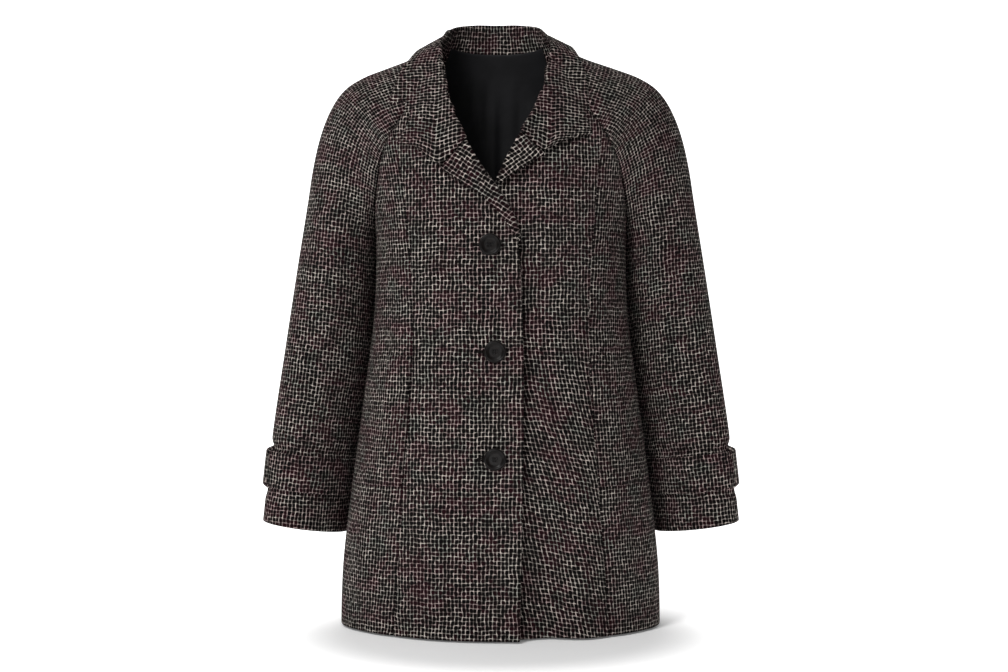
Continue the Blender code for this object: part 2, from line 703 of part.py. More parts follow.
def add_button(name, x, height):
    place = front_at(np.array(x), np.array(height), np.array(SEAM))
    near = front_at(np.array([x - BUTTON_SEAT, x + BUTTON_SEAT]), np.array([height, height]), np.zeros(2))
    tall = front_at(np.array([x, x]), np.array([height - BUTTON_SEAT, height + BUTTON_SEAT]), np.zeros(2))
    facing = Vector(np.cross(near[1] - near[0], tall[1] - tall[0])).normalized()
    made = add_mesh(name, [(r, 0.0, z) for r, z in BUTTON_PROFILE], [], BUTTON_COLOUR, BUTTON_ROUGHNESS)
    made.data.edges.add(len(BUTTON_PROFILE) - 1)
    for k, edge in enumerate(made.data.edges):
        edge.vertices = (k, k + 1)
    screw = made.modifiers.new("turned", "SCREW")
    screw.steps = BUTTON_SEGMENTS
    screw.render_steps = BUTTON_SEGMENTS
    screw.use_merge_vertices = True
    screw.merge_threshold = BUTTON_MERGE
    screw.use_normal_calculate = True
    made.matrix_world = Matrix.Translation(place) @ facing.to_track_quat("Z", "Y").to_matrix().to_4x4()


for old in list(bpy.data.objects):
    bpy.data.objects.remove(old, do_unlink=True)
coat = bpy.data.collections.new("tweed_overcoat")
bpy.context.scene.collection.children.link(coat)

front_side = np.array([0.0, -1.0, 0.0])
back_side = np.array([0.0, 1.0, 0.0])
around = np.linspace(0.0, 1.0, SLEEVE_COLUMNS + 1)

# Body, panel by panel
back_points = back_panel()
back_normals = grid_normals(back_points, back_side)
sides = {}
for side in (-1, 1):
    heights, front_points = front_panel(side)
    side_points = side_panel(side)
    sleeve_points = sleeve_grid(side, sleeve_stations(), around)
    sides[side] = {
        "heights": heights, "front": front_points, "side": side_points, "sleeve": sleeve_points,
        "front_normals": grid_normals(front_points, front_side),
        "side_normals": grid_normals(side_points, np.array([side, -1.0, 0.0])),
        "sleeve_normals": grid_normals(sleeve_points, outward(side, sleeve_points)),
    }
    part = sides[side]
    shared = side_points.shape[0] - 1
    share_normals(part["front_normals"], (slice(0, shared), 0), part["side_normals"], (slice(0, shared), 0))
    edge = -1 if side > 0 else 0
    below = slice(0, LOWER_ROWS)
    share_normals(part["side_normals"], (below, -1), back_normals, (below, edge))

# Sleeves share the direction of their walls with the panels along the raglan seams
for side in (-1, 1):
    part = sides[side]
    edge = -1 if side > 0 else 0
    for row in range(len(STATIONS)):
        body_row = part["heights"].shape[0] - 1 - row
        back_row = back_points.shape[0] - 1 - row
        share_normals(part["sleeve_normals"], (row, -1), back_normals, (back_row, edge))
        if STATIONS[row] <= PANEL_JOIN + NEARLY:
            share_normals(part["sleeve_normals"], (row, 0), part["front_normals"], (body_row, 0))
        elif body_row < part["side"].shape[0]:
            share_normals(part["sleeve_normals"], (row, 0), part["side_normals"], (body_row, -1))

add_sheet("back", back_points, grid_faces(*back_points.shape[:2]), back_normals, TWEED)
for side, hand in ((-1, "right"), (1, "left")):
    part = sides[side]
    add_front("front_" + hand, side, part["heights"], part["front"], part["front_normals"])
    add_sheet("side_front_" + hand, part["side"], grid_faces(*part["side"].shape[:2]),
              part["side_normals"], TWEED)
    add_sheet("sleeve_" + hand, part["sleeve"], grid_faces(*part["sleeve"].shape[:2]),
              part["sleeve_normals"], TWEED)

# Collar, laid over the shoulders
covered = [(back_points, back_normals)]
for part in sides.values():
    covered += [(part[name], part[name + "_normals"]) for name in ("front", "side", "sleeve")]
under_points, under_faces = [], []
for grid, normals in covered:
    start = sum(len(points) for points in under_points)
    faces = turned_out(grid.reshape(-1, 3), grid_faces(*grid.shape[:2]), normals.reshape(-1, 3))
    under_points.append(grid.reshape(-1, 3))
    under_faces += [tuple(v + start for v in face) for face in faces]
shoulders = BVHTree.FromPolygons([tuple(p) for p in np.concatenate(under_points)], under_faces)
halves = {}
for side in (-1, 1):
    part = sides[side]
    line = neck_line(side, back_points, part["sleeve"], part["heights"], part["front"])
    halves[side] = collar_half(side, line, shoulders)
collar_points = np.concatenate([halves[-1][::-1], halves[1][1:]])
collar_normals = grid_normals(collar_points, back_side, column=1)
add_sheet("collar", collar_points, grid_faces(*collar_points.shape[:2]), collar_normals, STAND_WALL)

# Pocket welts on the side fronts
for side, hand in ((-1, "right"), (1, "left")):
    points = welt_grid(side)
    normals = grid_normals(points, np.array([side, -1.0, 0.0]))
    raised = points + normals * (SEAM + WELT_WALL)
    add_sheet("pocket_welt_" + hand, raised, grid_faces(*points.shape[:2]), normals, WELT_WALL)

# Cuff straps and their loops
for side, hand in ((-1, "right"), (1, "left")):
    points = sleeve_grid(side, np.linspace(STRAP_TOP, STRAP_BOTTOM, 3), around)
    normals = grid_normals(points, outward(side, points))[:, :-1]
    raised = points[:, :-1] + normals * (LYING_GAP + STRAP_WALL)
    add_sheet("cuff_strap_" + hand, raised, grid_faces(3, SLEEVE_COLUMNS, wrap=True), normals, STRAP_WALL)
    stations = np.linspace(LOOP_TOP, LOOP_BOTTOM, LOOP_ROWS + 1)
    points = sleeve_grid(side, stations, np.linspace(LOOP_FROM, LOOP_TO, LOOP_COLUMNS + 1))
    normals = grid_normals(points, outward(side, points))
    arch = np.clip(np.minimum(stations - LOOP_TOP, LOOP_BOTTOM - stations) / LOOP_ARCH, 0.0, 1.0)
    lift = LYING_GAP + LOOP_RISE * ease(arch)
    raised = points + normals * (lift[:, None, None] + LOOP_WALL)
    add_sheet("strap_loop_" + hand, raised, grid_faces(*points.shape[:2]), normals, LOOP_WALL)

# Lining of the back, with a pleat down its middle
lining_points, lining_normals = lining_grid()
add_sheet("lining_back", lining_points, grid_faces(*lining_points.shape[:2]), lining_normals,
          LINING_WALL, LINING_COLOUR, LINING_ROUGHNESS)

# Buttons down the lapped front
for place, x, height in zip(("top", "middle", "bottom"), BUTTONS["x"], BUTTONS["height"]):
    add_button("button_" + place, x, height)
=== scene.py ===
import math

import bpy
import numpy as np
from mathutils import Matrix, Vector
from mathutils.bvhtree import BVHTree


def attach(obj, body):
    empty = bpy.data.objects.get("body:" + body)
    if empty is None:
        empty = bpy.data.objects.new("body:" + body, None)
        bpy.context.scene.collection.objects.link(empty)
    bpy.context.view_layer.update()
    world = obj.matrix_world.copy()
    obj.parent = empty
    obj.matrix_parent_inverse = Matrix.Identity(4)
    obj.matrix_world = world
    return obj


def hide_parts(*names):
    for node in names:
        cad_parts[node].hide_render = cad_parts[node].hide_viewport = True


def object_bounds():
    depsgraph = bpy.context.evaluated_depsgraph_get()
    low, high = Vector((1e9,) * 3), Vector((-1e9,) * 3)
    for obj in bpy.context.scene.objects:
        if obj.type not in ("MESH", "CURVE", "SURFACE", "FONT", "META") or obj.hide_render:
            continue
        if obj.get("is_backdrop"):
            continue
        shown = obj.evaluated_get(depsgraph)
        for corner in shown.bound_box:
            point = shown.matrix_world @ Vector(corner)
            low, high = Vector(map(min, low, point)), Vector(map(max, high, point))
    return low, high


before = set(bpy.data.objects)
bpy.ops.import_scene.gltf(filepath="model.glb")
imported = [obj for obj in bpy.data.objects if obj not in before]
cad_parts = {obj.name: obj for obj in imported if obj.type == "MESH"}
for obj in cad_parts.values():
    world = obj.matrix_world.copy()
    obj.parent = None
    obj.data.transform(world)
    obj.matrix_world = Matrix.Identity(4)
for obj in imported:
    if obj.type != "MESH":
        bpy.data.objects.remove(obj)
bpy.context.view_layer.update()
print("frame loaded with", len(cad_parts), "solids")

scene = bpy.context.scene
studio = bpy.data.collections.new("studio")
wardrobe = bpy.data.collections.new("overcoat")
scene.collection.children.link(studio)
scene.collection.children.link(wardrobe)
toFront, toBack = np.array([0.0, -1.0, 0.0]), np.array([0.0, 1.0, 0.0])
hands = ((-1, "right"), (1, "left"))      # the right front is on the viewer's left and laps over
nearly = 1e-6


# camera at the height of the middle of the coat
photoCamera = {"distance": 2.25, "height": -0.395, "lens": 58.86, "sensor": 36.0, "shiftX": 3 / 1008}
lens = bpy.data.cameras.new("photoCamera")
lens.lens, lens.sensor_width, lens.shift_x = (photoCamera[k] for k in ("lens", "sensor", "shiftX"))
cameraObject = bpy.data.objects.new("photoCamera", lens)
cameraObject.location = (0.0, -photoCamera["distance"], photoCamera["height"])
cameraObject.rotation_euler = (math.radians(90), 0.0, 0.0)
studio.objects.link(cameraObject)
scene.camera = cameraObject
print("camera set")


# small helpers for tables and grids
def tableOf(names, rows):
    return dict(zip(names.split(), np.array(rows, float).T))


def smoothThrough(keys, values, at):
    slopes = np.gradient(values, keys)
    at = np.clip(np.asarray(at, float), keys[0], keys[-1])
    low = np.clip(np.searchsorted(keys, at) - 1, 0, len(keys) - 2)
    step = keys[low + 1] - keys[low]
    t = (at - keys[low]) / step
    start, end = values[low], values[low + 1]
    return (start * (1 + 2 * t) * (1 - t) ** 2 + end * t * t * (3 - 2 * t)
            + step * (slopes[low] * t * (1 - t) ** 2 + slopes[low + 1] * t * t * (t - 1)))


def smoothAt(table, name, at):
    return smoothThrough(next(iter(table.values())), table[name], at)


def sizesAt(table, names, at):
    return [smoothAt(table, name, at) for name in names.split()]


def ease(value):
    value = np.clip(value, 0.0, 1.0)
    return value * value * (3 - 2 * value)


def easeBetween(value, none, full):
    return ease((value - none) / (full - none))


def unit(vectors):
    return vectors / np.maximum(np.linalg.norm(vectors, axis=-1, keepdims=True), 1e-9)


def edgedShares(count, inset):
    return np.concatenate([[0.0, inset], np.linspace(0.0, 1.0, count + 1)[1:-1], [1 - inset, 1.0]])


def gridNormals(grid, toward, column=None):
    normals = unit(np.cross(np.gradient(grid, axis=0), np.gradient(grid, axis=1)))
    middle = (grid.shape[0] // 2, grid.shape[1] // 2 if column is None else column)
    return normals * np.sign(np.dot(normals[middle], toward))


def gridFaces(rows, cols):
    corner = np.arange((rows - 1) * cols).reshape(rows - 1, cols)[:, :-1].ravel()
    return np.stack([corner, corner + 1, corner + cols + 1, corner + cols], axis=1).tolist()


def levelWeave(points, side=1, start=0.0):
    return np.stack([side * arcAlong(points, 1) + start, points[..., 2]], axis=-1)


def turnedOut(points, faces, normals):
    a, b, _, d = faces[len(faces) // 2]
    facing = np.dot(np.cross(points[b] - points[a], points[d] - points[a]), normals[a])
    return [face[::-1] for face in faces] if facing < 0 else faces


def arcAlong(points, axis):
    steps = np.linalg.norm(np.diff(points, axis=axis), axis=-1)
    start = np.zeros_like(np.take(steps, [0], axis=axis))
    return np.concatenate([start, np.cumsum(steps, axis=axis)], axis=axis)


# the body: rings from hem to neck, standing folds in the skirt, raglan and panel seams
body = {
    "wall": 0.0028,
    "hem": -0.7815,
    "breakLine": -0.2726,
    "neckBack": 0.002,
    "seamGap": -0.0007,          # panels run into each other a little, so a seam is a groove
    "sideOverlap": 0.0025,       # in radians
    "lowerRows": 64,
    "upperStations": np.unique(np.concatenate([np.linspace(0.0, 1.0, 51), [0.45, 0.985, 0.995]])),
    "hemInset": 0.004,
    "edgeInset": 0.0026,
    "frontColumns": 24, "sideColumns": 13, "backColumns": 66,
    "frontWidth": 0.14, "sideWidth": 0.1, "backWidth": 0.5, "leastRow": 0.002,
    "panelJoin": 0.45,
    "panelTip": 0.006,
    "lap": tableOf("height drop full none", (
        (-0.8, 0.013, 0.036, 0.11),
        (-0.7, 0.012, 0.036, 0.1),
        (-0.6, 0.011, 0.036, 0.085),
        (-0.45, 0.012, 0.035, 0.08),
        (-0.28, 0.011, 0.033, 0.075),
        (-0.2, 0.007, 0.031, 0.07),
        (-0.03, 0.006, 0.031, 0.07),
    )),
    "rings": tableOf("height halfWidth frontDepth backDepth squareness shift", (
        (-0.8, 0.216, 0.172, 0.169, 1.98, 0.0),
        (-0.7, 0.213, 0.1675, 0.164, 2.16, 0.0),
        (-0.62, 0.205, 0.161, 0.156, 2.2, 0.0),
        (-0.482, 0.187, 0.151, 0.14, 2.28, 0.0),
        (-0.346, 0.171, 0.142, 0.126, 2.36, 0.0),
        (-0.26, 0.17, 0.139, 0.122, 2.4, 0.0),
        (-0.2, 0.172, 0.133, 0.124, 2.4, -0.001),
        (-0.14, 0.166, 0.12, 0.122, 2.4, -0.003),
        (-0.1, 0.15, 0.104, 0.114, 2.4, -0.004),
        (-0.06, 0.126, 0.083, 0.101, 2.36, -0.005),
        (-0.03, 0.101, 0.066, 0.089, 2.3, -0.006),
        (0.005, 0.079, 0.05, 0.073, 2.2, -0.006),
    )),
    "skirtFolds": tableOf("angleDeg spreadDeg depth fadeHeight", (
        (-118, 13, -0.005, -0.44),
        (-74, 11, 0.004, -0.5),
        (-38, 12, -0.0028, -0.56),
        (33, 12, -0.003, -0.54),
        (70, 11, 0.004, -0.48),
        (112, 14, -0.0052, -0.42),
        (150, 13, 0.004, -0.46),
        (182, 12, -0.004, -0.5),
        (214, 12, 0.004, -0.44),
    )),
    "raglan": tableOf("along frontHeight frontReach backHeight backReach", (
        (0.0, -0.03, 0.75, -0.004, 0.85),
        (0.15, -0.06, 0.77, -0.03, 0.8),
        (0.3, -0.092, 0.81, -0.062, 0.8),
        (0.45, -0.122, 0.86, -0.1, 0.84),
        (0.6, -0.15, 0.905, -0.138, 0.88),
        (0.72, -0.18, 0.935, -0.172, 0.915),
        (0.84, -0.215, 0.965, -0.21, 0.96),
        (0.9, -0.234, 0.984, -0.231, 0.982),
        (0.95, -0.249, 0.9945, -0.248, 0.994),
        (1.0, -0.262, 1.0, -0.262, 1.0),
    )),
    "panelSeam": tableOf("height reach", (
        (-0.8, 0.143),
        (-0.594, 0.1265),
        (-0.426, 0.115),
        (-0.284, 0.119),
        (-0.2, 0.127),
        (-0.122, 0.1376),
    )),
}


def ringSizes(height):
    return sizesAt(body["rings"], "halfWidth frontDepth backDepth squareness shift", height)


def skirtFold(angle, height):
    total = np.zeros(np.broadcast(angle, height).shape)
    for place, spread, depth, fade in zip(*body["skirtFolds"].values()):
        away = (angle - math.radians(place) + math.pi) % (2 * math.pi) - math.pi
        wave = np.exp(-(away / math.radians(spread)) ** 2)
        total = total + depth * easeBetween(height, fade, body["hem"]) * wave
    return total


def trunk(angle, height):
    half, front, back, square, shift = ringSizes(height)
    angle, height = np.broadcast_arrays(angle, height)
    sine, cosine = np.sin(angle), np.cos(angle)
    power = 2.0 / square
    fold = skirtFold(angle, height)
    depth = np.where(cosine > 0, front, back) + fold
    x = shift + (half + fold) * np.sign(sine) * np.abs(sine) ** power
    y = -depth * np.sign(cosine) * np.abs(cosine) ** power
    return np.stack([x, y, height], axis=-1)


def angleAt(x, height):
    half, _, _, square, shift = ringSizes(height)
    share = np.clip(np.abs(x - shift) / half, 0.0, 1.0)
    return np.sign(x - shift) * np.arcsin(share ** (square / 2.0))


def frontAt(x, height, out):
    return trunk(angleAt(x, height), height) + toFront * np.asarray(out)[..., None]


def lapDrop(side, x, height):
    drop, full, none = sizesAt(body["lap"], "drop full none", height)
    return drop * easeBetween(x, none, full) * (side > 0)


def seamHeight(which, along):
    return smoothAt(body["raglan"], which + "Height", along)


def bodyHeights(which):
    hem, rows = body["hem"], body["lowerRows"]
    lower = np.concatenate([[hem, hem + body["hemInset"]], np.linspace(hem, body["breakLine"], rows)[1:]])
    upper = seamHeight(which, body["upperStations"][::-1])
    return np.concatenate([lower, upper])


def seamReach(which, height):
    heights, reaches = body["raglan"][which + "Height"], body["raglan"][which + "Reach"]
    order = np.argsort(heights)
    return np.where(height < heights.min(), 1.0, smoothThrough(heights[order], reaches[order], height))


def seamX(which, side, height):
    half, _, _, _, shift = ringSizes(height)
    return shift + side * half * seamReach(which, height)


def panelX(side, height):
    return ringSizes(height)[4] + side * smoothAt(body["panelSeam"], "reach", height)


def panelGrid(heights, start, end, share):
    turned = start[:, None] + (end - start)[:, None] * share
    return trunk(turned, np.repeat(heights[:, None], len(share), axis=1))


def backPanel():
    heights = bodyHeights("back")
    share = edgedShares(body["backColumns"], body["edgeInset"] / body["backWidth"]) * 2 - 1
    reach = angleAt(seamX("back", 1, heights) - body["seamGap"] / 2, heights)
    reach = np.where(heights <= body["breakLine"] + nearly, math.pi / 2 + body["sideOverlap"], reach)
    levels = np.repeat(heights[:, None], len(share), axis=1)
    levels[-1] = body["neckBack"] + (heights[-1] - body["neckBack"]) * share ** 2
    levels[-2] = np.minimum(levels[-2], levels[-1] - body["leastRow"])
    return trunk(math.pi - reach[:, None] * share, levels)


def sidePanel(side):
    heights = bodyHeights("front")
    join = float(seamHeight("front", body["panelJoin"] + body["panelTip"]))
    heights = np.append(heights[heights < join - body["leastRow"]], join)
    inner = panelX(side, heights) + side * body["seamGap"] / 2
    outer = seamX("front", side, heights) - side * body["seamGap"] / 2
    below = heights <= body["breakLine"] + nearly
    end = np.where(below, side * (math.pi / 2 + body["sideOverlap"]), angleAt(outer, heights))
    share = edgedShares(body["sideColumns"], body["edgeInset"] / body["sideWidth"])
    return panelGrid(heights, angleAt(inner, heights), end, share)


# the fronts: edge, then base of the lapel's fold, then neck seam; each front carries its own lapel
fronts = {
    -1: {
        "gorge": 0.56,
        "opening": tableOf("height x", (
            (-0.8, 0.024),
            (-0.3, 0.024),
            (-0.2726, 0.022),
            (-0.2446, 0.0095),
            (-0.2216, -0.005),
            (-0.199, -0.0195),
            (-0.1705, -0.04),
            (-0.142, -0.0555),
            (-0.12, -0.061),
            (-0.09, -0.068),
            (-0.06, -0.074),
            (-0.03, -0.0775),
        )),
        "lapel": tableOf("along rollX rollHeight rollOut edgeX edgeHeight", (
            (0.0, 0.0243, -0.283, 0.0012, 0.0236, -0.2832),
            (0.08, 0.0238, -0.272, 0.0022, 0.0212, -0.2732),
            (0.2, 0.0195, -0.255, 0.0042, 0.0118, -0.258),
            (0.3, 0.0145, -0.2405, 0.005, 0.0035, -0.2455),
            (0.55, -0.006, -0.2055, 0.0065, -0.025, -0.2155),
            (0.77, -0.0285, -0.174, 0.008, -0.054, -0.1965),
            (1.0, -0.0465, -0.1425, 0.009, -0.0784, -0.1785),
        )),
    },
    1: {
        "gorge": 0.5,
        "opening": tableOf("height x", (
            (-0.8, -0.042),
            (-0.3, -0.042),
            (-0.27, -0.04),
            (-0.24, -0.031),
            (-0.215, -0.018),
            (-0.197, -0.007),
            (-0.169, 0.0145),
            (-0.148, 0.0265),
            (-0.132, 0.0365),
            (-0.11, 0.046),
            (-0.085, 0.055),
            (-0.06, 0.061),
            (-0.03, 0.0655),
        )),
        "lapel": tableOf("along rollX rollHeight rollOut edgeX edgeHeight", (
            (0.0, -0.0075, -0.203, 0.002, -0.005, -0.2045),
            (0.1, -0.0045, -0.1955, 0.0032, 0.001, -0.1985),
            (0.4, 0.0045, -0.1745, 0.005, 0.0155, -0.186),
            (0.7, 0.015, -0.153, 0.007, 0.036, -0.174),
            (1.0, 0.027, -0.1315, 0.009, 0.0567, -0.1595),
        )),
    },
}
lapelMake = {
    "roll": 0.003, "lift": 0.001, "edgeOut": 0.0068, "start": 0.004,
    "riseSteps": 6, "shares": np.append(np.linspace(0.0, 1.0, 13)[1:-1], (0.955, 1.0)),
    "risePull": 0.55, "fallPull": 0.62,
}


def frontPanel(side):
    heights = bodyHeights("front")
    join = float(seamHeight("front", body["panelJoin"]))
    outer = np.where(heights < join - nearly, panelX(side, heights), seamX("front", side, heights))
    outer = outer - side * body["seamGap"] / 2
    inner = smoothAt(fronts[side]["opening"], "x", heights)
    share = edgedShares(body["frontColumns"], body["edgeInset"] / body["frontWidth"])
    grid = panelGrid(heights, angleAt(outer, heights), angleAt(inner, heights), share)
    grid[..., 1] += lapDrop(side, grid[..., 0], grid[..., 2])
    return heights, grid


def bezier(points, shares):
    t = np.asarray(shares)[:, None]
    a, b, c, d = points
    return a * (1 - t) ** 3 + 3 * b * t * (1 - t) ** 2 + 3 * c * t * t * (1 - t) + d * t ** 3


def foldSection(base, roll, edge, make):
    along = unit(roll - (base + edge) / 2)
    across = edge - base
    out = unit(across - along * np.dot(across, along))
    rising = np.linspace(0.0, 1.0, make["riseSteps"] + 1)[1:]
    pulls = base + (roll - base) * lapelMake["risePull"], edge + (roll - edge) * lapelMake["fallPull"]
    rise = bezier((base, pulls[0], roll - out * make["roll"], roll), rising)
    fall = bezier((roll, roll + out * make["roll"], pulls[1] + out * make["lift"], edge), make["shares"])
    return np.concatenate([rise, fall])


def lapelRows(side, heights, grid):
    table = fronts[side]["lapel"]
    top = float(seamHeight("front", fronts[side]["gorge"]))
    foot = float(table["rollHeight"][0])
    rows = [r for r, h in enumerate(heights) if foot + lapelMake["start"] < h < top + nearly]
    strips, rolls = [], []
    for r in rows:
        t = (heights[r] - foot) / (top - foot)
        sizes = sizesAt(table, "rollX rollHeight rollOut edgeX edgeHeight", t)
        rollX, rollH, rollOut, edgeX, edgeH = map(float, sizes)
        roll = frontAt(rollX, rollH, rollOut - float(lapDrop(side, rollX, rollH)))
        edge = frontAt(edgeX, edgeH, lapelMake["edgeOut"] - float(lapDrop(side, edgeX, edgeH)))
        strips.append(foldSection(grid[r, -1], roll, edge, lapelMake))
        rolls.append((rollX, rollH))
    return rows, np.array(strips), np.array(rolls)


# the sleeves: raglan heads, then closed sections down to the cuffs
sleeves = {
    "columns": 60,
    "lowerRows": 66,
    "cuffInset": 0.006,
    "underarm": 0.0025,
    "setBack": {-1: 0.004, 1: 0.014}, "setBackOver": (1.0, 1.5),
    "girth": 0.4, "middle": 0.23,
    "outer": tableOf("along x height bulge forward shift roundness", (
        (0.0, 0.085, -0.001, 0.0, 0.0, -0.005, 1.45),
        (0.15, 0.118, -0.017, 0.004, 0.0, -0.003, 1.5),
        (0.3, 0.155, -0.0305, 0.01, 0.0, -0.001, 1.62),
        (0.45, 0.19, -0.0445, 0.018, 0.0, 0.0, 1.8),
        (0.6, 0.2165, -0.064, 0.028, 0.0, 0.0, 1.92),
        (0.72, 0.2335, -0.091, 0.038, 0.0, 0.0, 2.0),
        (0.84, 0.248, -0.131, 0.05, 0.0, 0.0, 2.0),
        (0.93, 0.257, -0.173, 0.06, 0.0, 0.0, 2.0),
        (1.0, 0.2625, -0.21, 0.066, 0.0, 0.0, 2.0),
        (1.15, 0.275, -0.288, 0.065, 0.0, 0.0, 2.0),
        (1.45, 0.2945, -0.416, 0.06, 0.002, 0.0, 2.0),
        (1.75, 0.3115, -0.534, 0.058, 0.005, 0.0, 2.0),
        (2.0, 0.3235, -0.645, 0.056, 0.008, 0.0, 2.0),
    )),
    "inner": tableOf("along x height back", (
        (1.0, 0.17, -0.262, 0.0),
        (1.15, 0.1712, -0.318, 0.013),
        (1.45, 0.1802, -0.432, 0.026),
        (1.75, 0.198, -0.548, 0.03),
        (2.0, 0.212, -0.6645, 0.03),
    )),
}


def seamPoint(which, side, along):
    height = float(seamHeight(which, along))
    angle = float(angleAt(seamX(which, side, height), height))
    if which == "back":
        angle = side * math.pi - angle
    return trunk(np.array(angle), np.array(height))


def sleeveHalf(seam, outer, size, facing, share, closed):
    power = 2.0 / size["roundness"]
    if closed:
        depth, first, axis = size["bulge"], sleeves["underarm"], (outer - seam) / 2
    else:
        reach = abs(seam[1] - outer[1])
        depth = math.hypot(reach, size["bulge"])
        start = math.asin(min(reach / depth, 1.0) ** (1 / power))
        first = max(start, sleeves["underarm"])
        axis = (outer - seam) * np.array([1.0, 0.0, 1.0]) / (1 + math.cos(start) ** power)
    turn = first + (math.pi - first) * share
    cosine = np.sign(np.cos(turn)) * np.abs(np.cos(turn)) ** power
    sweep = np.array([0.0, facing, 0.0]) * depth
    return outer - axis - axis * cosine[:, None] + sweep * np.sin(turn)[:, None] ** power


def sleeveOuter(side, along):
    size = {name: float(smoothAt(sleeves["outer"], name, along)) for name in sleeves["outer"]}
    return size, np.array([side * size["x"] + size["shift"], -size["forward"], size["height"]])


def sleeveSection(side, along, share):
    size, outer = sleeveOuter(side, along)
    if along <= 1.0:
        seams = {which: seamPoint(which, side, along) for which in ("front", "back")}
        seams = {which: p + unit(outer - p) * body["seamGap"] / 2 for which, p in seams.items()}
    else:
        x, height, back = map(float, sizesAt(sleeves["inner"], "x height back", along))
        back = back + sleeves["setBack"][side] * float(easeBetween(along, *sleeves["setBackOver"]))
        seams = dict.fromkeys(("front", "back"), np.array([side * x, back, height]))
    halves = []
    turns = ("front", -1.0, share[share <= 0.5]), ("back", 1.0, 1 - share[share > 0.5])
    for which, facing, turn in turns:
        halves.append(sleeveHalf(seams[which], outer, size, facing, turn * 2, along > 1.0))
    return np.concatenate(halves)


def sleeveGrid(side, stations, share):
    return np.array([sleeveSection(side, float(along), share) for along in stations])


def sleeveStations():
    lower = 1 + np.linspace(0, 1, sleeves["lowerRows"] + 1)[1:]
    return np.concatenate([body["upperStations"], lower[:-1], [2.0 - sleeves["cuffInset"], 2.0]])


def outward(side, grid):
    centre = np.array([side * sleeves["middle"], 0.0, 0.0])
    return (grid[grid.shape[0] // 2, grid.shape[1] // 2] - centre) * np.array([1.0, 1.0, 0.0])


# cloth sinks into its seams
seamGroove = {"depth": 0.0007, "halfWidth": 0.003}
raglanFill = {"front": 0.019, "back": 0.011, "halfWidth": 0.029, "rise": (0.12, 0.46), "fall": (1.0, 0.84),
              "stations": np.linspace(0.0, 1.0, 41)}


def filledRaglan(points, side):
    make = raglanFill
    filled = points.copy()
    stations = make["stations"]
    window = easeBetween(stations, *make["rise"]) * easeBetween(stations, *make["fall"])
    for which, direction in (("front", toFront), ("back", toBack)):
        seam = np.array([seamPoint(which, side, float(along)) for along in stations])
        away = np.linalg.norm(points[..., None, :] - seam, axis=-1)
        nearest = np.argmin(away, axis=-1)
        reach = np.take_along_axis(away, nearest[..., None], axis=-1)[..., 0]
        push = make[which] * window[nearest] * np.exp(-(reach / make["halfWidth"]) ** 2)
        filled += direction * push[..., None]
    return filled


def sunkSeams(points, normals, atStart=True, atEnd=True):
    arc = arcAlong(points, 1)
    sink = np.zeros(points.shape[:-1])
    for wanted, away in ((atStart, arc), (atEnd, arc[:, -1:] - arc)):
        if wanted:
            sink += seamGroove["depth"] * np.exp(-(away / seamGroove["halfWidth"]) ** 2)
    return points - normals * sink[..., None]


# soft creases: each a bent line on the cloth with its own width and depth, fading at both ends
def creaseLine(start, middle, end, onCloth, count=14):
    t = np.linspace(0.0, 1.0, count)[:, None]
    start, middle, end = (np.array(p, float) for p in (start, middle, end))
    bend = start * (1 - t) ** 2 + 2 * middle * t * (1 - t) + end * t * t
    return np.array([onCloth(*p) for p in bend])


def pressCrease(points, line, halfWidth, depth, fade=0.4):
    flat = points.reshape(-1, 3)
    best, place = np.full(len(flat), 1e9), np.zeros(len(flat))
    for k in range(len(line) - 1):
        way = line[k + 1] - line[k]
        t = np.clip((flat - line[k]) @ way / np.dot(way, way), 0.0, 1.0)
        away = np.linalg.norm(flat - line[k] - t[:, None] * way, axis=1)
        nearer = away < best
        best = np.where(nearer, away, best)
        place = np.where(nearer, (k + t) / (len(line) - 1), place)
    along = ease(np.minimum(place, 1 - place) / fade)
    return (depth * along * np.exp(-(best / halfWidth) ** 2)).reshape(points.shape[:-1])


def pressed(points, normals, creases, onCloth):
    push = np.zeros(points.shape[:-1])
    for start, middle, end, halfWidth, depth in creases:
        push += pressCrease(points, creaseLine(start, middle, end, onCloth), halfWidth, depth)
    return points + normals * push[..., None]


def onFront(x, height):
    return frontAt(x, height, 0.0)


def onBack(x, height):
    return trunk(math.pi - angleAt(x, height), np.asarray(height))


# cloth pieces: a grid with its own weave coordinates, a wall, and one subdivision that rounds its edges
def addPiece(name, mesh, material, place=None):
    mesh.polygons.foreach_set("use_smooth", np.ones(len(mesh.polygons), bool))
    mesh.materials.append(material)
    piece = bpy.data.objects.new(name, mesh)
    wardrobe.objects.link(piece)
    if place:
        piece.matrix_world = place
    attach(piece, "root")
    return piece


def sewCloth(name, node, points, weave, normals, make, faces=None, material=None):
    faces = gridFaces(*points.shape[:2]) if faces is None else faces
    points, weave, normals = points.reshape(-1, 3), weave.reshape(-1, 2), normals.reshape(-1, 3)
    mesh = bpy.data.meshes.new(name)
    mesh.from_pydata(points.tolist(), [], turnedOut(points, faces, normals))
    corners = np.zeros(len(mesh.loops), int)
    mesh.loops.foreach_get("vertex_index", corners)
    mesh.uv_layers.new(name="cloth").data.foreach_set("uv", weave[corners].ravel())
    piece = addPiece(name, mesh, material or tweed)
    thick = piece.modifiers.new("wall", "SOLIDIFY")
    thick.thickness, thick.offset = make["wall"], -1.0
    rounded = piece.modifiers.new("rounded", "SUBSURF")
    rounded.levels = rounded.render_levels = 1
    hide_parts(node)


# node helpers
def addNode(tree, kind, settings=None, inputs=None):
    made = tree.nodes.new(kind)
    for name, value in (settings or {}).items():
        setattr(made, name, value)
    for name, value in (inputs or {}).items():
        if isinstance(value, bpy.types.NodeSocket):
            tree.links.new(value, made.inputs[name])
        else:
            made.inputs[name].default_value = value
    return made


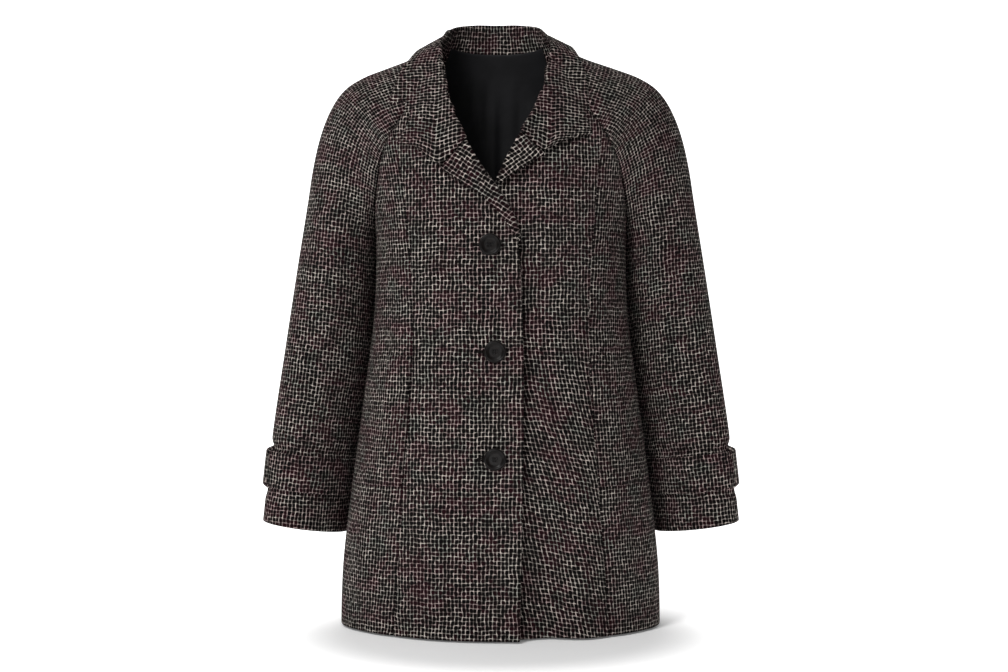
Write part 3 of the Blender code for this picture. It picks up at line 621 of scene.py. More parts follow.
def sumNode(tree, operation, *values):
    settings = {"operation": operation}
    return addNode(tree, "ShaderNodeMath", settings, dict(enumerate(values))).outputs[0]


def rangeNode(tree, value, low, high, toLow=0.0, toHigh=1.0):
    inputs = {"Value": value, "From Min": low, "From Max": high, "To Min": toLow, "To Max": toHigh}
    return addNode(tree, "ShaderNodeMapRange", {"interpolation_type": "SMOOTHSTEP"}, inputs).outputs[0]


def mixColour(tree, share, first, second):
    inputs = {0: share, 6: first, 7: second}
    return addNode(tree, "ShaderNodeMix", {"data_type": "RGBA"}, inputs).outputs[2]


def noiseNode(tree, vector, scale, detail=2.0, dimensions="2D"):
    inputs = {"Vector": vector, "Scale": scale, "Detail": detail}
    return addNode(tree, "ShaderNodeTexNoise", {"noise_dimensions": dimensions}, inputs)


def joinNode(tree, x, y):
    return addNode(tree, "ShaderNodeCombineXYZ", None, {"X": x, "Y": y}).outputs[0]


def splitNode(tree, vector):
    return addNode(tree, "ShaderNodeSeparateXYZ", None, {0: vector}).outputs


def newMaterial(name, surface):
    material = bpy.data.materials.new(name)
    material.use_nodes = True
    shader = material.node_tree.nodes["Principled BSDF"]
    for socket, value in zip(("Roughness", "Specular IOR Level"), surface):
        shader.inputs[socket].default_value = value
    return material, material.node_tree, shader


def dressShader(tree, shader, colour, height, bump):
    inputs = {"Strength": bump[0], "Distance": bump[1], "Height": height}
    raised = addNode(tree, "ShaderNodeBump", None, inputs)
    tree.links.new(colour, shader.inputs["Base Color"])
    tree.links.new(raised.outputs[0], shader.inputs["Normal"])


# tweed: dark squares between thin light yarns that zigzag, with nubs, slubs and bands of tint
tweedLook = {
    "surface": (0.95, 0.02),     # roughness and specular level
    "across": 0.005, "down": 0.0054,
    "slowWobble": (38.0, 0.0022), "fastWobble": (300.0, 0.0004),
    "zigzag": (0.04, 0.035),
    "under": 0.62,               # how far a yarn sinks where the other one crosses over it
    "warpHalf": (0.135, 0.04), "weftHalf": (0.12, 0.03),
    "dashPlace": (5.17, 0.55), "longDash": (0.34, 0.62, 0.4, 1.15), "shortDash": (0.36, 0.64, 0.28, 1.0),
    "pickPlace": (0.5, 3.71), "pick": (0.36, 0.62, 0.14, 0.84), "pickStart": 0.37,
    "nub": (0.27, 0.04), "nubLight": 0.62, "uneven": (0.0, 1.0, 0.5, 1.34),
    "slubScale": 210.0, "slub": (0.3, 0.7, 0.55, 1.15),
    "bandScale": 24.0, "yarnTint": 0.35, "tint": (0.5, 0.9),
    "coolScale": 33.0, "cool": (0.52, 0.68, 0.0, 0.7), "squareTint": 0.4, "red": (0.62, 1.02),
    "black": (0.003, 0.0026, 0.0027, 1.0), "burgundy": (0.013, 0.0036, 0.0052, 1.0),
    "ivory": (0.61, 0.545, 0.495, 1.0), "pink": (0.44, 0.33, 0.32, 1.0),
    "greenGrey": (0.36, 0.375, 0.335, 1.0),
    "fibreScale": 900.0, "fibre": 0.6, "bump": (0.6, 0.001),
}


def makeTweed():
    look = tweedLook
    material, tree, shader = newMaterial("tweed", look["surface"])

    def maths(operation, *values):
        return sumNode(tree, operation, *values)

    def times(first, second):
        return sumNode(tree, "MULTIPLY", first, second)

    def soft(value, bounds):
        return rangeNode(tree, value, *bounds)

    def noise(vector, scale, detail=1.0):
        return noiseNode(tree, vector, scale, detail).outputs

    def vectors(operation, first, second):
        inputs = {0: first, 1: second}
        return addNode(tree, "ShaderNodeVectorMath", {"operation": operation}, inputs).outputs[0]

    def chance(dimensions, socket, value):
        settings = {"noise_dimensions": dimensions}
        return addNode(tree, "ShaderNodeTexWhiteNoise", settings, {socket: value}).outputs[0]

    cloth = addNode(tree, "ShaderNodeUVMap", {"uv_map": "cloth"}).outputs[0]
    place = cloth
    for scale, amount in (look["slowWobble"], look["fastWobble"]):
        stir = vectors("SUBTRACT", noise(cloth, scale, 2.0)["Color"], (0.5, 0.5, 0.5))
        place = vectors("ADD", place, vectors("MULTIPLY", stir, (amount * 2, amount * 2, 0.0)))
    split = splitNode(tree, place)
    x, y = maths("DIVIDE", split["X"], look["across"]), maths("DIVIDE", split["Y"], look["down"])
    # each yarn bows to one side over one crossing and to the other over the next
    bows = [maths("SINE", times(maths("ADD", a, maths("ROUND", b)), math.pi)) for a, b in ((y, x), (x, y))]
    x, y = (maths("MULTIPLY_ADD", bow, far, at) for bow, far, at in zip(bows, look["zigzag"], (x, y)))
    warp, weft = maths("ROUND", x), maths("ROUND", y)
    warpAway, weftAway = (maths("ABSOLUTE", maths("SUBTRACT", a, b)) for a, b in ((x, warp), (y, weft)))
    # long dashes on every other warp yarn, shorter marks on the ones between
    odd = maths("ABSOLUTE", maths("MODULO", warp, 2.0))
    dashPlace = joinNode(tree, times(warp, look["dashPlace"][0]), times(y, look["dashPlace"][1]))
    dashNoise = noise(dashPlace, 1.0)[0]
    dashes = {0: odd, 2: soft(dashNoise, look["longDash"]), 3: soft(dashNoise, look["shortDash"])}
    dash = addNode(tree, "ShaderNodeMix", {"data_type": "FLOAT"}, dashes).outputs[0]
    pickPlace = joinNode(tree, times(x, look["pickPlace"][0]), times(weft, look["pickPlace"][1]))
    pick = soft(noise(pickPlace, 1.0)[0], look["pick"])
    # plain weave: a yarn shows over one crossing and sinks under the next
    shows = []
    for index, across in ((warp, y), (weft, x)):
        shows.append(maths("ABSOLUTE", maths("MODULO", maths("ADD", index, maths("FLOOR", across)), 2.0)))
    warpShow = maths("MULTIPLY_ADD", shows[0], -look["under"], 1.0)
    weftShow = maths("MULTIPLY_ADD", shows[1], look["under"], 1.0 - look["under"])
    warpLine = times(times(soft(warpAway, look["warpHalf"]), warpShow), dash)
    weftLine = times(times(soft(weftAway, look["weftHalf"]), weftShow), pick)
    nub = times(soft(warpAway, look["nub"]), soft(weftAway, look["nub"]))
    line = maths("MULTIPLY_ADD", nub, look["nubLight"], maths("MAXIMUM", warpLine, weftLine))
    line = times(line, soft(chance("2D", "Vector", joinNode(tree, warp, weft)), look["uneven"]))
    slub = soft(noise(cloth, look["slubScale"])[0], look["slub"])
    light = maths("MINIMUM", times(line, slub), 1.0)
    # tint by yarn and by slow bands
    band = noise(cloth, look["bandScale"], 2.0)[0]
    pickChance = chance("1D", "W", maths("ADD", weft, look["pickStart"]))
    tint = soft(maths("MULTIPLY_ADD", pickChance, look["yarnTint"], band), look["tint"])
    pale = mixColour(tree, tint, look["ivory"], look["pink"])
    cool = soft(noise(cloth, look["coolScale"])["Color"], look["cool"])
    pale = mixColour(tree, cool, pale, look["greenGrey"])
    square = chance("2D", "Vector", joinNode(tree, maths("FLOOR", x), maths("FLOOR", y)))
    red = soft(maths("MULTIPLY_ADD", square, look["squareTint"], band), look["red"])
    dark = mixColour(tree, red, look["black"], look["burgundy"])
    # yarns stand over the squares, with loose fibres between
    height = maths("MULTIPLY_ADD", noise(cloth, look["fibreScale"], 2.0)[0], look["fibre"], light)
    dressShader(tree, shader, mixColour(tree, light, dark, pale), height, look["bump"])
    return material


liningLook = {
    "surface": (0.6, 0.25), "dark": (0.008, 0.008, 0.0092, 1.0), "lit": (0.012, 0.012, 0.0136, 1.0),
    "thread": 0.0006, "cloudScale": 26.0, "cloud": (0.3, 0.7), "bump": (0.12, 0.0002),
}


def makeLining():
    look = liningLook
    material, tree, shader = newMaterial("lining", look["surface"])
    cloth = addNode(tree, "ShaderNodeUVMap", {"uv_map": "cloth"}).outputs[0]
    split = splitNode(tree, cloth)
    threads = sumNode(tree, "DIVIDE", sumNode(tree, "ADD", split["X"], split["Y"]), look["thread"])
    twill = sumNode(tree, "SINE", sumNode(tree, "MULTIPLY", threads, math.tau))
    cloud = rangeNode(tree, noiseNode(tree, cloth, look["cloudScale"], 3.0).outputs[0], *look["cloud"])
    dressShader(tree, shader, mixColour(tree, cloud, look["dark"], look["lit"]), twill, look["bump"])
    return material


tweed, lining = makeTweed(), makeLining()
print("cloth materials mixed")


# back, side fronts and sleeves
backCut = {
    "wall": body["wall"], "flat": (0.56, 0.79), "area": 0.36, "held": "hung",
    "creases": (
        ((-0.055, -0.3), (-0.062, -0.46), (-0.05, -0.64), 0.022, -0.0035),
        ((0.07, -0.34), (0.082, -0.5), (0.078, -0.72), 0.026, -0.0042),
        ((-0.12, -0.23), (-0.085, -0.28), (-0.06, -0.315), 0.016, -0.0028),
        ((0.125, -0.225), (0.09, -0.27), (0.05, -0.3), 0.018, -0.003),
        ((0.01, -0.11), (0.0, -0.18), (0.006, -0.25), 0.03, 0.0022),
        ((-0.1, -0.42), (-0.112, -0.56), (-0.104, -0.74), 0.024, 0.0034),
    ),
}
points = backPanel()
normals = gridNormals(points, toBack)
weave = levelWeave(points)
weave[..., 0] -= weave[:, weave.shape[1] // 2, 0][:, None]
backGrid, backNormals = points, normals
points = filledRaglan(filledRaglan(points, 1), -1)
points = sunkSeams(pressed(points, normals, backCut["creases"], onBack), normals)
sewCloth("backCloth", "back", points, weave, normals, backCut)

sideCut = {
    "wall": body["wall"], "flat": (0.2, 0.66), "area": 0.086, "held": "hung", "weaveStart": 0.4,
    "creases": {
        -1: (
            ((-0.15, -0.3), (-0.146, -0.38), (-0.152, -0.47), 0.014, -0.0022),
            ((-0.176, -0.56), (-0.186, -0.65), (-0.18, -0.76), 0.018, 0.003),
        ),
        1: (
            ((0.152, -0.29), (0.148, -0.36), (0.15, -0.44), 0.013, -0.0024),
            ((0.172, -0.54), (0.18, -0.64), (0.188, -0.77), 0.02, -0.003),
        ),
    },
}
sideGrids = {}
for side, hand in hands:
    points = sidePanel(side)
    normals = gridNormals(points, np.array([side, -1.0, 0.0]))
    weave = levelWeave(points, side, sideCut["weaveStart"] * side)
    sideGrids[side] = (points, normals)
    points = pressed(filledRaglan(points, side), normals, sideCut["creases"][side], onFront)
    points = sunkSeams(points, normals)
    sewCloth("sideFrontCloth_" + hand, "side_front_" + hand, points, weave, normals, sideCut)

sleeveCut = {
    "wall": body["wall"], "flat": (0.46, 0.8), "area": 0.225, "held": "hung", "weaveStart": 1.3,
    "cinches": ((1.773, 0.01, 0.0055), (1.906, 0.009, 0.003)),   # the strap draws the sleeve in
    "cinchFrom": 0.22,
    "creases": {
        -1: (
            ((0.93, 0.16), (1.08, 0.21), (1.26, 0.22), 0.012, -0.003),
            ((0.8, 0.12), (1.0, 0.23), (1.3, 0.27), 0.017, 0.003),
            ((1.2, 0.3), (1.36, 0.34), (1.52, 0.3), 0.016, -0.0026),
            ((1.3, 0.14), (1.42, 0.2), (1.52, 0.28), 0.011, -0.0028),
            ((1.4, 0.09), (1.5, 0.18), (1.58, 0.3), 0.012, 0.0022),
            ((1.05, 0.84), (1.25, 0.78), (1.45, 0.72), 0.016, -0.0032),
            ((1.3, 0.92), (1.42, 0.82), (1.5, 0.7), 0.014, -0.003),
            ((1.58, 0.88), (1.64, 0.78), (1.7, 0.66), 0.012, -0.0024),
        ),
        1: (
            ((0.9, 0.15), (1.06, 0.19), (1.3, 0.18), 0.011, -0.0036),
            ((0.78, 0.13), (1.02, 0.225), (1.36, 0.235), 0.012, 0.0042),
            ((0.84, 0.21), (1.06, 0.295), (1.34, 0.31), 0.013, -0.0044),
            ((1.3, 0.14), (1.4, 0.21), (1.5, 0.31), 0.012, -0.0028),
            ((1.46, 0.1), (1.54, 0.2), (1.62, 0.34), 0.012, 0.0024),
            ((1.08, 0.86), (1.26, 0.79), (1.42, 0.7), 0.016, -0.0034),
            ((1.36, 0.92), (1.46, 0.8), (1.56, 0.68), 0.014, -0.0028),
            ((1.62, 0.9), (1.68, 0.8), (1.73, 0.7), 0.011, -0.0022),
        ),
    },
}
sleeveGrids = {}
around = edgedShares(sleeves["columns"], body["edgeInset"] / sleeves["girth"])
for side, hand in hands:
    stations = sleeveStations()
    points = sleeveGrid(side, stations, around)
    normals = gridNormals(points, outward(side, points))
    line = np.array([sleeveOuter(side, float(s))[1] for s in stations])
    tangent = unit(np.gradient(line, axis=0))
    down = arcAlong(line[:, None], 0)[:, 0]
    lower = np.einsum("rck,rk->rc", points - line[:, None], tangent)
    drop = down[:, None] + lower
    step = np.sqrt(np.maximum(np.sum(np.diff(points, axis=1) ** 2, axis=-1) - np.diff(drop, axis=1) ** 2, 0))
    across = np.concatenate([np.zeros((len(stations), 1)), np.cumsum(step, axis=1)], axis=1)
    middle = np.argmin(np.abs(around - 0.5))
    across = across - across[:, middle][:, None] + sleeveCut["weaveStart"]
    weave = np.stack([side * across, -drop], axis=-1)
    sleeveGrids[side] = (points, normals)
    points = pressed(points, normals, sleeveCut["creases"][side],
                     lambda along, share: sleeveSection(side, float(along), np.array([share]))[0])
    points = sunkSeams(filledRaglan(points, side), normals)
    cinch = sum(deep * np.exp(-((stations - at) / half) ** 2) for at, half, deep in sleeveCut["cinches"])
    outside = ease(np.minimum(around, 1 - around) / sleeveCut["cinchFrom"])
    points = points - normals * (cinch[:, None] * outside)[..., None]
    sewCloth("sleeveCloth_" + hand, "sleeve_" + hand, points, weave, normals, sleeveCut)
print("back, side fronts and sleeves sewn")


# fronts with their lapels
frontCut = {
    "wall": body["wall"], "flat": (0.235, 0.76), "area": {-1: 0.108, 1: 0.117}, "held": "hung",
    "standOff": 0.0034, "standReach": 0.02, "standBelow": (-0.262, -0.3),
    "weaveStart": {-1: (0.0, 0.0), 1: (2.1032, 0.0021)},
    "lean": {-1: (0.0, -0.4, -0.62), 1: (0.17, -0.34, -0.6)},   # how far, from which height to which
    "creases": {
        -1: (
            ((-0.118, -0.185), (-0.085, -0.25), (-0.03, -0.285), 0.016, -0.002),
            ((-0.06, -0.62), (-0.066, -0.7), (-0.058, -0.785), 0.022, -0.0026),
            ((-0.02, -0.3), (-0.024, -0.35), (-0.016, -0.4), 0.018, 0.0014),
        ),
        1: (
            ((0.118, -0.18), (0.09, -0.24), (0.045, -0.285), 0.015, -0.0022),
            ((0.058, -0.52), (0.064, -0.76), (0.068, -1.06), 0.026, -0.0135),
            ((0.112, -0.6), (0.118, -0.7), (0.122, -0.9), 0.022, 0.004),
            ((0.05, -0.42), (0.054, -0.48), (0.048, -0.54), 0.016, 0.0014),
        ),
    },
}


def leanedWeave(weave, lean, top, bottom):
    full = lean * easeBetween(weave[:, 1], top, bottom)
    across, down = weave[:, 0], weave[:, 1]
    return np.stack([across + full * (down - top), down + full * across], axis=-1)


def frontWeave(side, grid, strips, rolls, rows):
    inner = grid[:, -1, 0]
    arc = arcAlong(grid, 1)
    weave = np.stack([inner[:, None] + side * (arc[:, -1:] - arc), grid[..., 2]], axis=-1)
    steps = lapelMake["riseSteps"]
    path = arcAlong(np.concatenate([grid[rows, -1][:, None], strips], axis=1), 1)[:, 1:]
    rise = path[:, :steps] / path[:, steps - 1:steps]
    base = weave[rows, -1][:, None]
    up = base + (rolls[:, None] - base) * rise[..., None]
    # the turned part lies almost flat, so it is measured along and across its roll
    foldLine = strips[:, steps - 1]
    foldWay = unit(foldLine[-1] - foldLine[0])
    reach = (strips[:, -1] - foldLine).mean(axis=0)
    fallWay = unit(reach - foldWay * np.dot(reach, foldWay))
    laid = strips[:, steps:] - foldLine[0]
    clothWay = unit(rolls[-1] - rolls[0])
    clothAcross = np.array([-clothWay[1], clothWay[0]]) * side
    turned = rolls[0] + (laid @ foldWay)[..., None] * clothWay + (laid @ fallWay)[..., None] * clothAcross
    return weave, np.concatenate([up, turned], axis=1)


frontGrids = {}
for side, hand in hands:
    heights, grid = frontPanel(side)
    normals = gridNormals(grid, toFront)
    rows, strips, rolls = lapelRows(side, heights, grid)
    flatWeave, lapelWeave = frontWeave(side, grid, strips, rolls, rows)
    cols, width = grid.shape[1], strips.shape[1]
    frontGrids[side] = (heights, grid, normals)
    panel = pressed(filledRaglan(grid, side), normals, frontCut["creases"][side], onFront)
    panel = sunkSeams(panel, normals, atEnd=False)
    if side < 0:
        below = easeBetween(heights, *frontCut["standBelow"])
        arc = arcAlong(grid, 1)
        near = ease(1 - (arc[:, -1:] - arc) / frontCut["standReach"])
        panel += normals * (frontCut["standOff"] * below[:, None] * near)[..., None]
    faces = gridFaces(*grid.shape[:2])
    count = grid.shape[0] * cols
    for k in range(len(rows) - 1):
        low = [rows[k] * cols + cols - 1] + [count + k * width + c for c in range(width)]
        high = [rows[k + 1] * cols + cols - 1] + [count + (k + 1) * width + c for c in range(width)]
        faces += [[low[c], low[c + 1], high[c + 1], high[c]] for c in range(width)]
    points = np.concatenate([panel.reshape(-1, 3), strips.reshape(-1, 3)])
    weave = np.concatenate([flatWeave.reshape(-1, 2), lapelWeave.reshape(-1, 2)])
    weave = leanedWeave(weave, *frontCut["lean"][side]) + frontCut["weaveStart"][side]
    every = np.concatenate([normals.reshape(-1, 3), np.zeros((strips.size // 3, 3))])
    sewCloth("frontCloth_" + hand, "front_" + hand, points, weave, every,
             dict(frontCut, area=frontCut["area"][side]), faces)
print("fronts and lapels sewn")


# collar: stand, roll and fall, laid over the shoulders
collarMake = {
    "wall": 0.0034, "rest": 0.0048, "nearRoll": 0.0006, "easings": 20, "laid": 0.2,
    "roll": 0.0055, "lift": 0.004, "endFrom": 0.5, "gorgeGap": 0.0012, "spacing": 0.0055,
    "riseSteps": 7, "shares": np.append(np.linspace(0.0, 1.0, 15)[1:-1], (0.965, 1.0)),
    "overlap": 0.0032, "overlapUntil": (0.36, 0.54),
    "patternRadius": 0.9, "weaveRounds": 600, "weaveSoftenings": 8,
    "flat": (0.52, 0.15), "area": 0.058, "held": "folded",
    -1: tableOf("along rollX rollY rollHeight edgeX edgeY edgeHeight", (
        (0.0, -0.006, 0.079, 0.0435, -0.006, 0.106, -0.022),
        (0.12, -0.037, 0.0735, 0.043, -0.052, 0.098, -0.024),
        (0.25, -0.064, 0.05, 0.036, -0.088, 0.066, -0.016),
        (0.38, -0.075, 0.014, 0.0205, -0.099, 0.015, -0.007),
        (0.44, -0.0765, -0.004, 0.011, -0.107, -0.009, -0.016),
        (0.5, -0.0785, -0.022, -0.001, -0.1225, -0.03, -0.028),
        (0.57, -0.0785, -0.047, -0.025, -0.131, -0.042, -0.045),
        (0.62, -0.0767, -0.063, -0.0405, -0.1365, -0.052, -0.058),
        (0.75, -0.0698, -0.0905, -0.0765, -0.147, -0.068, -0.09),
        (0.88, -0.0585, -0.1115, -0.1115, -0.155, -0.078, -0.118),
        (1.0, -0.0465, -0.128, -0.1406, -0.162, -0.082, -0.1405),
    )),
    1: tableOf("along rollX rollY rollHeight edgeX edgeY edgeHeight", (
        (0.0, -0.006, 0.079, 0.0435, -0.006, 0.106, -0.022),
        (0.12, 0.025, 0.0735, 0.043, 0.04, 0.098, -0.024),
        (0.25, 0.052, 0.05, 0.036, 0.076, 0.066, -0.016),
        (0.38, 0.06, 0.014, 0.0205, 0.083, 0.015, -0.007),
        (0.44, 0.0625, -0.004, 0.011, 0.0905, -0.009, -0.015),
        (0.5, 0.064, -0.022, -0.001, 0.103, -0.03, -0.025),
        (0.57, 0.0625, -0.047, -0.0245, 0.109, -0.045, -0.041),
        (0.62, 0.0597, -0.0625, -0.0395, 0.113, -0.056, -0.054),
        (0.75, 0.0548, -0.089, -0.0725, 0.1165, -0.074, -0.085),
        (0.88, 0.0438, -0.109, -0.103, 0.119, -0.088, -0.11),
        (1.0, 0.027, -0.126, -0.1296, 0.121, -0.096, -0.1306),
    )),
    "ends": {
        -1: tableOf("across x height", (
            (0.0, -0.0465, -0.1402),
            (0.32, -0.078, -0.177),
            (0.42, -0.088, -0.169),
            (0.62, -0.1085, -0.15),
            (0.8, -0.135, -0.1405),
            (1.0, -0.162, -0.1405),
        )),
        1: tableOf("across x height", (
            (0.0, 0.027, -0.1292),
            (0.36, 0.056, -0.158),
            (0.46, 0.064, -0.15),
            (0.7, 0.0923, -0.1375),
            (0.85, 0.107, -0.1335),
            (1.0, 0.121, -0.1306),
        )),
    },
}


def neckLine(side):
    heights, front, _ = frontGrids[side]
    top = float(seamHeight("front", fronts[side]["gorge"]))
    half = backGrid.shape[1] // 2
    backPart = backGrid[-1, half:] if side > 0 else backGrid[-1, half::-1]
    frontPart = front[heights > top - nearly, -1][::-1].copy()
    frontPart[-1] += unit(frontPart[-2] - frontPart[-1]) * collarMake["gorgeGap"]
    sleeve = sleeveGrids[side][0]
    line = np.concatenate([backPart[:-1], sleeve[0, ::-1], frontPart])
    arc = arcAlong(line, 0)
    wanted = np.linspace(0.0, arc[-1], int(arc[-1] / collarMake["spacing"]) + 1)
    return np.stack([np.interp(wanted, arc, line[:, k]) for k in range(3)], axis=-1), wanted


def restOn(tree, point, gap, pull):
    spot, normal, _, _ = tree.find_nearest(Vector(point))
    normal = np.array(normal)
    height = float(np.dot(point - np.array(spot), normal))
    wanted = gap if height < gap else height + (gap - height) * pull
    return point + normal * (wanted - height)


def collarSection(table, along, base):
    sizes = np.array(sizesAt(table, "rollX rollY rollHeight edgeX edgeY edgeHeight", along))
    return np.concatenate([base[None], foldSection(base, sizes[:3], sizes[3:], collarMake)])


def collarHalf(side, tree):
    make = collarMake
    table, end = make[side], make["ends"][side]
    line, arc = neckLine(side)
    first = make["riseSteps"] + 1
    shares = make["shares"]
    last = collarSection(table, 1.0, line[-1])[first:]
    move = np.zeros_like(last)
    move[:, 0] = np.interp(shares, end["across"], end["x"]) - last[:, 0]
    move[:, 2] = np.interp(shares, end["across"], end["height"]) - last[:, 2]
    rows = []
    for along, base in zip(arc / arc[-1], line):
        lower = make["overlap"] * (1 - float(easeBetween(along, *make["overlapUntil"])))
        if lower > 0:
            base = restOn(tree, base - np.array([0.0, 0.0, lower]), 0.0, 1.0)
        section = collarSection(table, along, base)
        turn = float(easeBetween(along, make["endFrom"], 1.0)) ** 2
        for k, share in enumerate(shares):
            pull = max(make["laid"] + (1 - make["laid"]) * share, turn)
            spot = section[first + k] + move[k] * turn
            section[first + k] = restOn(tree, spot, make["rest"], pull)
        rows.append(section)
    grid = np.array(rows)
    fall = slice(first, None)
    for _ in range(make["easings"]):
        grid[1:-1, fall] = (grid[:-2, fall] + 2 * grid[1:-1, fall] + grid[2:, fall]) / 4
    for row in grid:
        for k in range(1, len(row)):
            share = max(k - first + 1, 0) / len(shares)
            row[k] = restOn(tree, row[k], make["rest"] + make["nearRoll"] * (1 - share), 0.0)
    return grid, side * arc


def settleWeave(points, weave, rounds, softenings):
    # the weave springs until its lengths are the cloth's own, then its shift is softened
    every, later, sooner = slice(None), slice(1, None), slice(None, -1)
    links = (((later, every), (sooner, every)), ((every, later), (every, sooner)),
             ((later, later), (sooner, sooner)), ((later, sooner), (sooner, later)))
    lengths = [np.linalg.norm(points[a] - points[b], axis=-1) for a, b in links]
    flat = weave.copy()
    for _ in range(rounds):
        move, count = np.zeros_like(flat), np.zeros(flat.shape[:2] + (1,))
        for (a, b), length in zip(links, lengths):
            gap = flat[a] - flat[b]
            pull = gap * (0.5 - 0.5 * length / np.linalg.norm(gap, axis=-1))[..., None]
            move[a] -= pull
            move[b] += pull
            count[a] += 1
            count[b] += 1
        flat += move / count * 2
    shift = flat - weave
    for _ in range(softenings):
        wide = np.pad(shift, ((1, 1), (0, 0), (0, 0)), mode="edge")
        shift = (wide[:-2] + 2 * wide[1:-1] + wide[2:]) / 4
        wide = np.pad(shift, ((0, 0), (1, 1), (0, 0)), mode="edge")
        shift = (wide[:, :-2] + 2 * wide[:, 1:-1] + wide[:, 2:]) / 4
    return weave + shift


underPoints, underFaces = [], []
covered = [(backGrid, backNormals)] + list(sideGrids.values()) + list(sleeveGrids.values())
for grid, normals in covered + [entry[1:] for entry in frontGrids.values()]:
    start = sum(len(p) for p in underPoints)
    flatGrid = grid.reshape(-1, 3)
    turned = turnedOut(flatGrid, gridFaces(*grid.shape[:2]), normals.reshape(-1, 3))
    underPoints.append(flatGrid)
    underFaces += [[v + start for v in face] for face in turned]
shoulders = BVHTree.FromPolygons(np.concatenate(underPoints).tolist(), underFaces)
rightHalf, rightArc = collarHalf(-1, shoulders)
leftHalf, leftArc = collarHalf(1, shoulders)
points = np.concatenate([rightHalf[::-1], leftHalf[1:]])
along = np.concatenate([rightArc[::-1], leftArc[1:]])[:, None]
reach = arcAlong(points, 1) + collarMake["patternRadius"]
angle = along / collarMake["patternRadius"]
weave = np.stack([reach * np.sin(angle), reach * np.cos(angle)], axis=-1)
weave = settleWeave(points, weave, collarMake["weaveRounds"], collarMake["weaveSoftenings"])
normals = gridNormals(points, toBack, column=1)
sewCloth("collarCloth", "collar", points, weave, normals, collarMake)
print("collar laid")


# pocket welts beside the panel seams
weltMake = {
    "top": -0.42, "bottom": -0.589, "topWidth": 0.031, "bottomWidth": 0.035, "inset": 0.0012,
    "wall": 0.0034, "gap": 0.0003, "rows": (24, 0.015), "columns": (6, 0.08), "weaveStart": 0.7,
    "flat": (0.04, 0.176), "area": 0.0068, "held": "laid",
}


def spread(first, last, steps):
    return first + (last - first) * edgedShares(*steps)


for side, hand in hands:
    heights = spread(weltMake["bottom"], weltMake["top"], weltMake["rows"])
    widths = spread(weltMake["bottomWidth"], weltMake["topWidth"], weltMake["rows"])
    inner = panelX(side, heights) + side * weltMake["inset"]
    grid = panelGrid(heights, angleAt(inner, heights), angleAt(inner + side * widths, heights),
                     edgedShares(*weltMake["columns"]))
    normals = gridNormals(grid, np.array([side, -1.0, 0.0]))
    points = grid + normals * (weltMake["gap"] + weltMake["wall"])
    weave = levelWeave(points, side, weltMake["weaveStart"])
    sewCloth("weltCloth_" + hand, "pocket_welt_" + hand, points, weave, normals, weltMake)

# cuff straps and the loops that hold them
strapMake = {
    "top": 1.785, "bottom": 1.893, "wall": 0.003, "gap": 0.0004, "rows": (8, 0.05), "weaveStart": 0.0,
    "flat": (0.37, 0.049), "area": 0.0181, "held": "laid",
}
loopMake = {
    "top": 1.77, "bottom": 1.904, "wall": 0.0024, "rise": 0.0096, "sunk": 0.0062, "arch": 0.014,
    "fromShare": 0.432, "toShare": 0.512, "rows": (20, 0.02), "columns": (6, 0.08), "weaveStart": 0.2,
    "flat": (0.03, 0.068), "area": 0.002, "held": "laid",
}


def sewRound(name, node, side, make, stations, span, lift):
    grid = sleeveGrid(side, stations, span)
    normals = gridNormals(grid, outward(side, grid))
    points = grid + normals * (lift + make["wall"])
    weave = np.stack([side * arcAlong(points, 1) + make["weaveStart"], -arcAlong(points, 0)], axis=-1)
    sewCloth(name, node, points, weave, normals, make)


for side, hand in hands:
    sleeve, strap = "sleeve_" + hand, "cuff_strap_" + hand
    stations = spread(strapMake["top"], strapMake["bottom"], strapMake["rows"])
    sewRound("strapCloth_" + hand, strap, side, strapMake, stations, around, strapMake["gap"])
    stations = spread(loopMake["top"], loopMake["bottom"], loopMake["rows"])
    span = spread(loopMake["fromShare"], loopMake["toShare"], loopMake["columns"])
    nearEnd = np.minimum(stations - loopMake["top"], loopMake["bottom"] - stations)
    lift = loopMake["rise"] * ease(nearEnd / loopMake["arch"]) - loopMake["sunk"]
    sewRound("loopCloth_" + hand, "strap_loop_" + hand, side, loopMake, stations, span, lift[:, None, None])
print("welts, straps and loops sewn")


# lining of the back with its pleat and soft hanging folds, felled over the foot of the stand
liningMake = {
    "wall": 0.001, "gap": 0.0022, "lowGap": 0.007, "lowFrom": (-0.15, -0.27), "foot": -0.745,
    "rise": 0.0115, "dip": -0.0045, "dipFrom": -0.05, "rows": 110, "columns": 110,
    "span": math.radians(78), "inset": math.radians(1.0),
    "pleatX": -0.007, "pleatDepth": 0.0055, "pleatSide": 0.024, "pleatEdge": 0.0022,
    "pleatFrom": (-0.03, -0.13), "foldFade": 0.3,
    "flat": (0.46, 0.75), "area": 0.297, "held": "hung",
    "folds": (
        ((-0.034, -0.018), (-0.03, -0.08), (-0.033, -0.23), 0.0075, 0.0016),
        ((-0.02, -0.03), (-0.021, -0.09), (-0.018, -0.2), 0.006, -0.0014),
        ((0.014, -0.02), (0.016, -0.08), (0.01, -0.19), 0.008, 0.0015),
        ((0.03, -0.02), (0.026, -0.07), (0.028, -0.16), 0.006, -0.0012),
        ((-0.052, -0.03), (-0.05, -0.09), (-0.046, -0.2), 0.008, 0.0015),
        ((0.042, -0.04), (0.04, -0.11), (0.036, -0.22), 0.007, 0.0015),
    ),
}


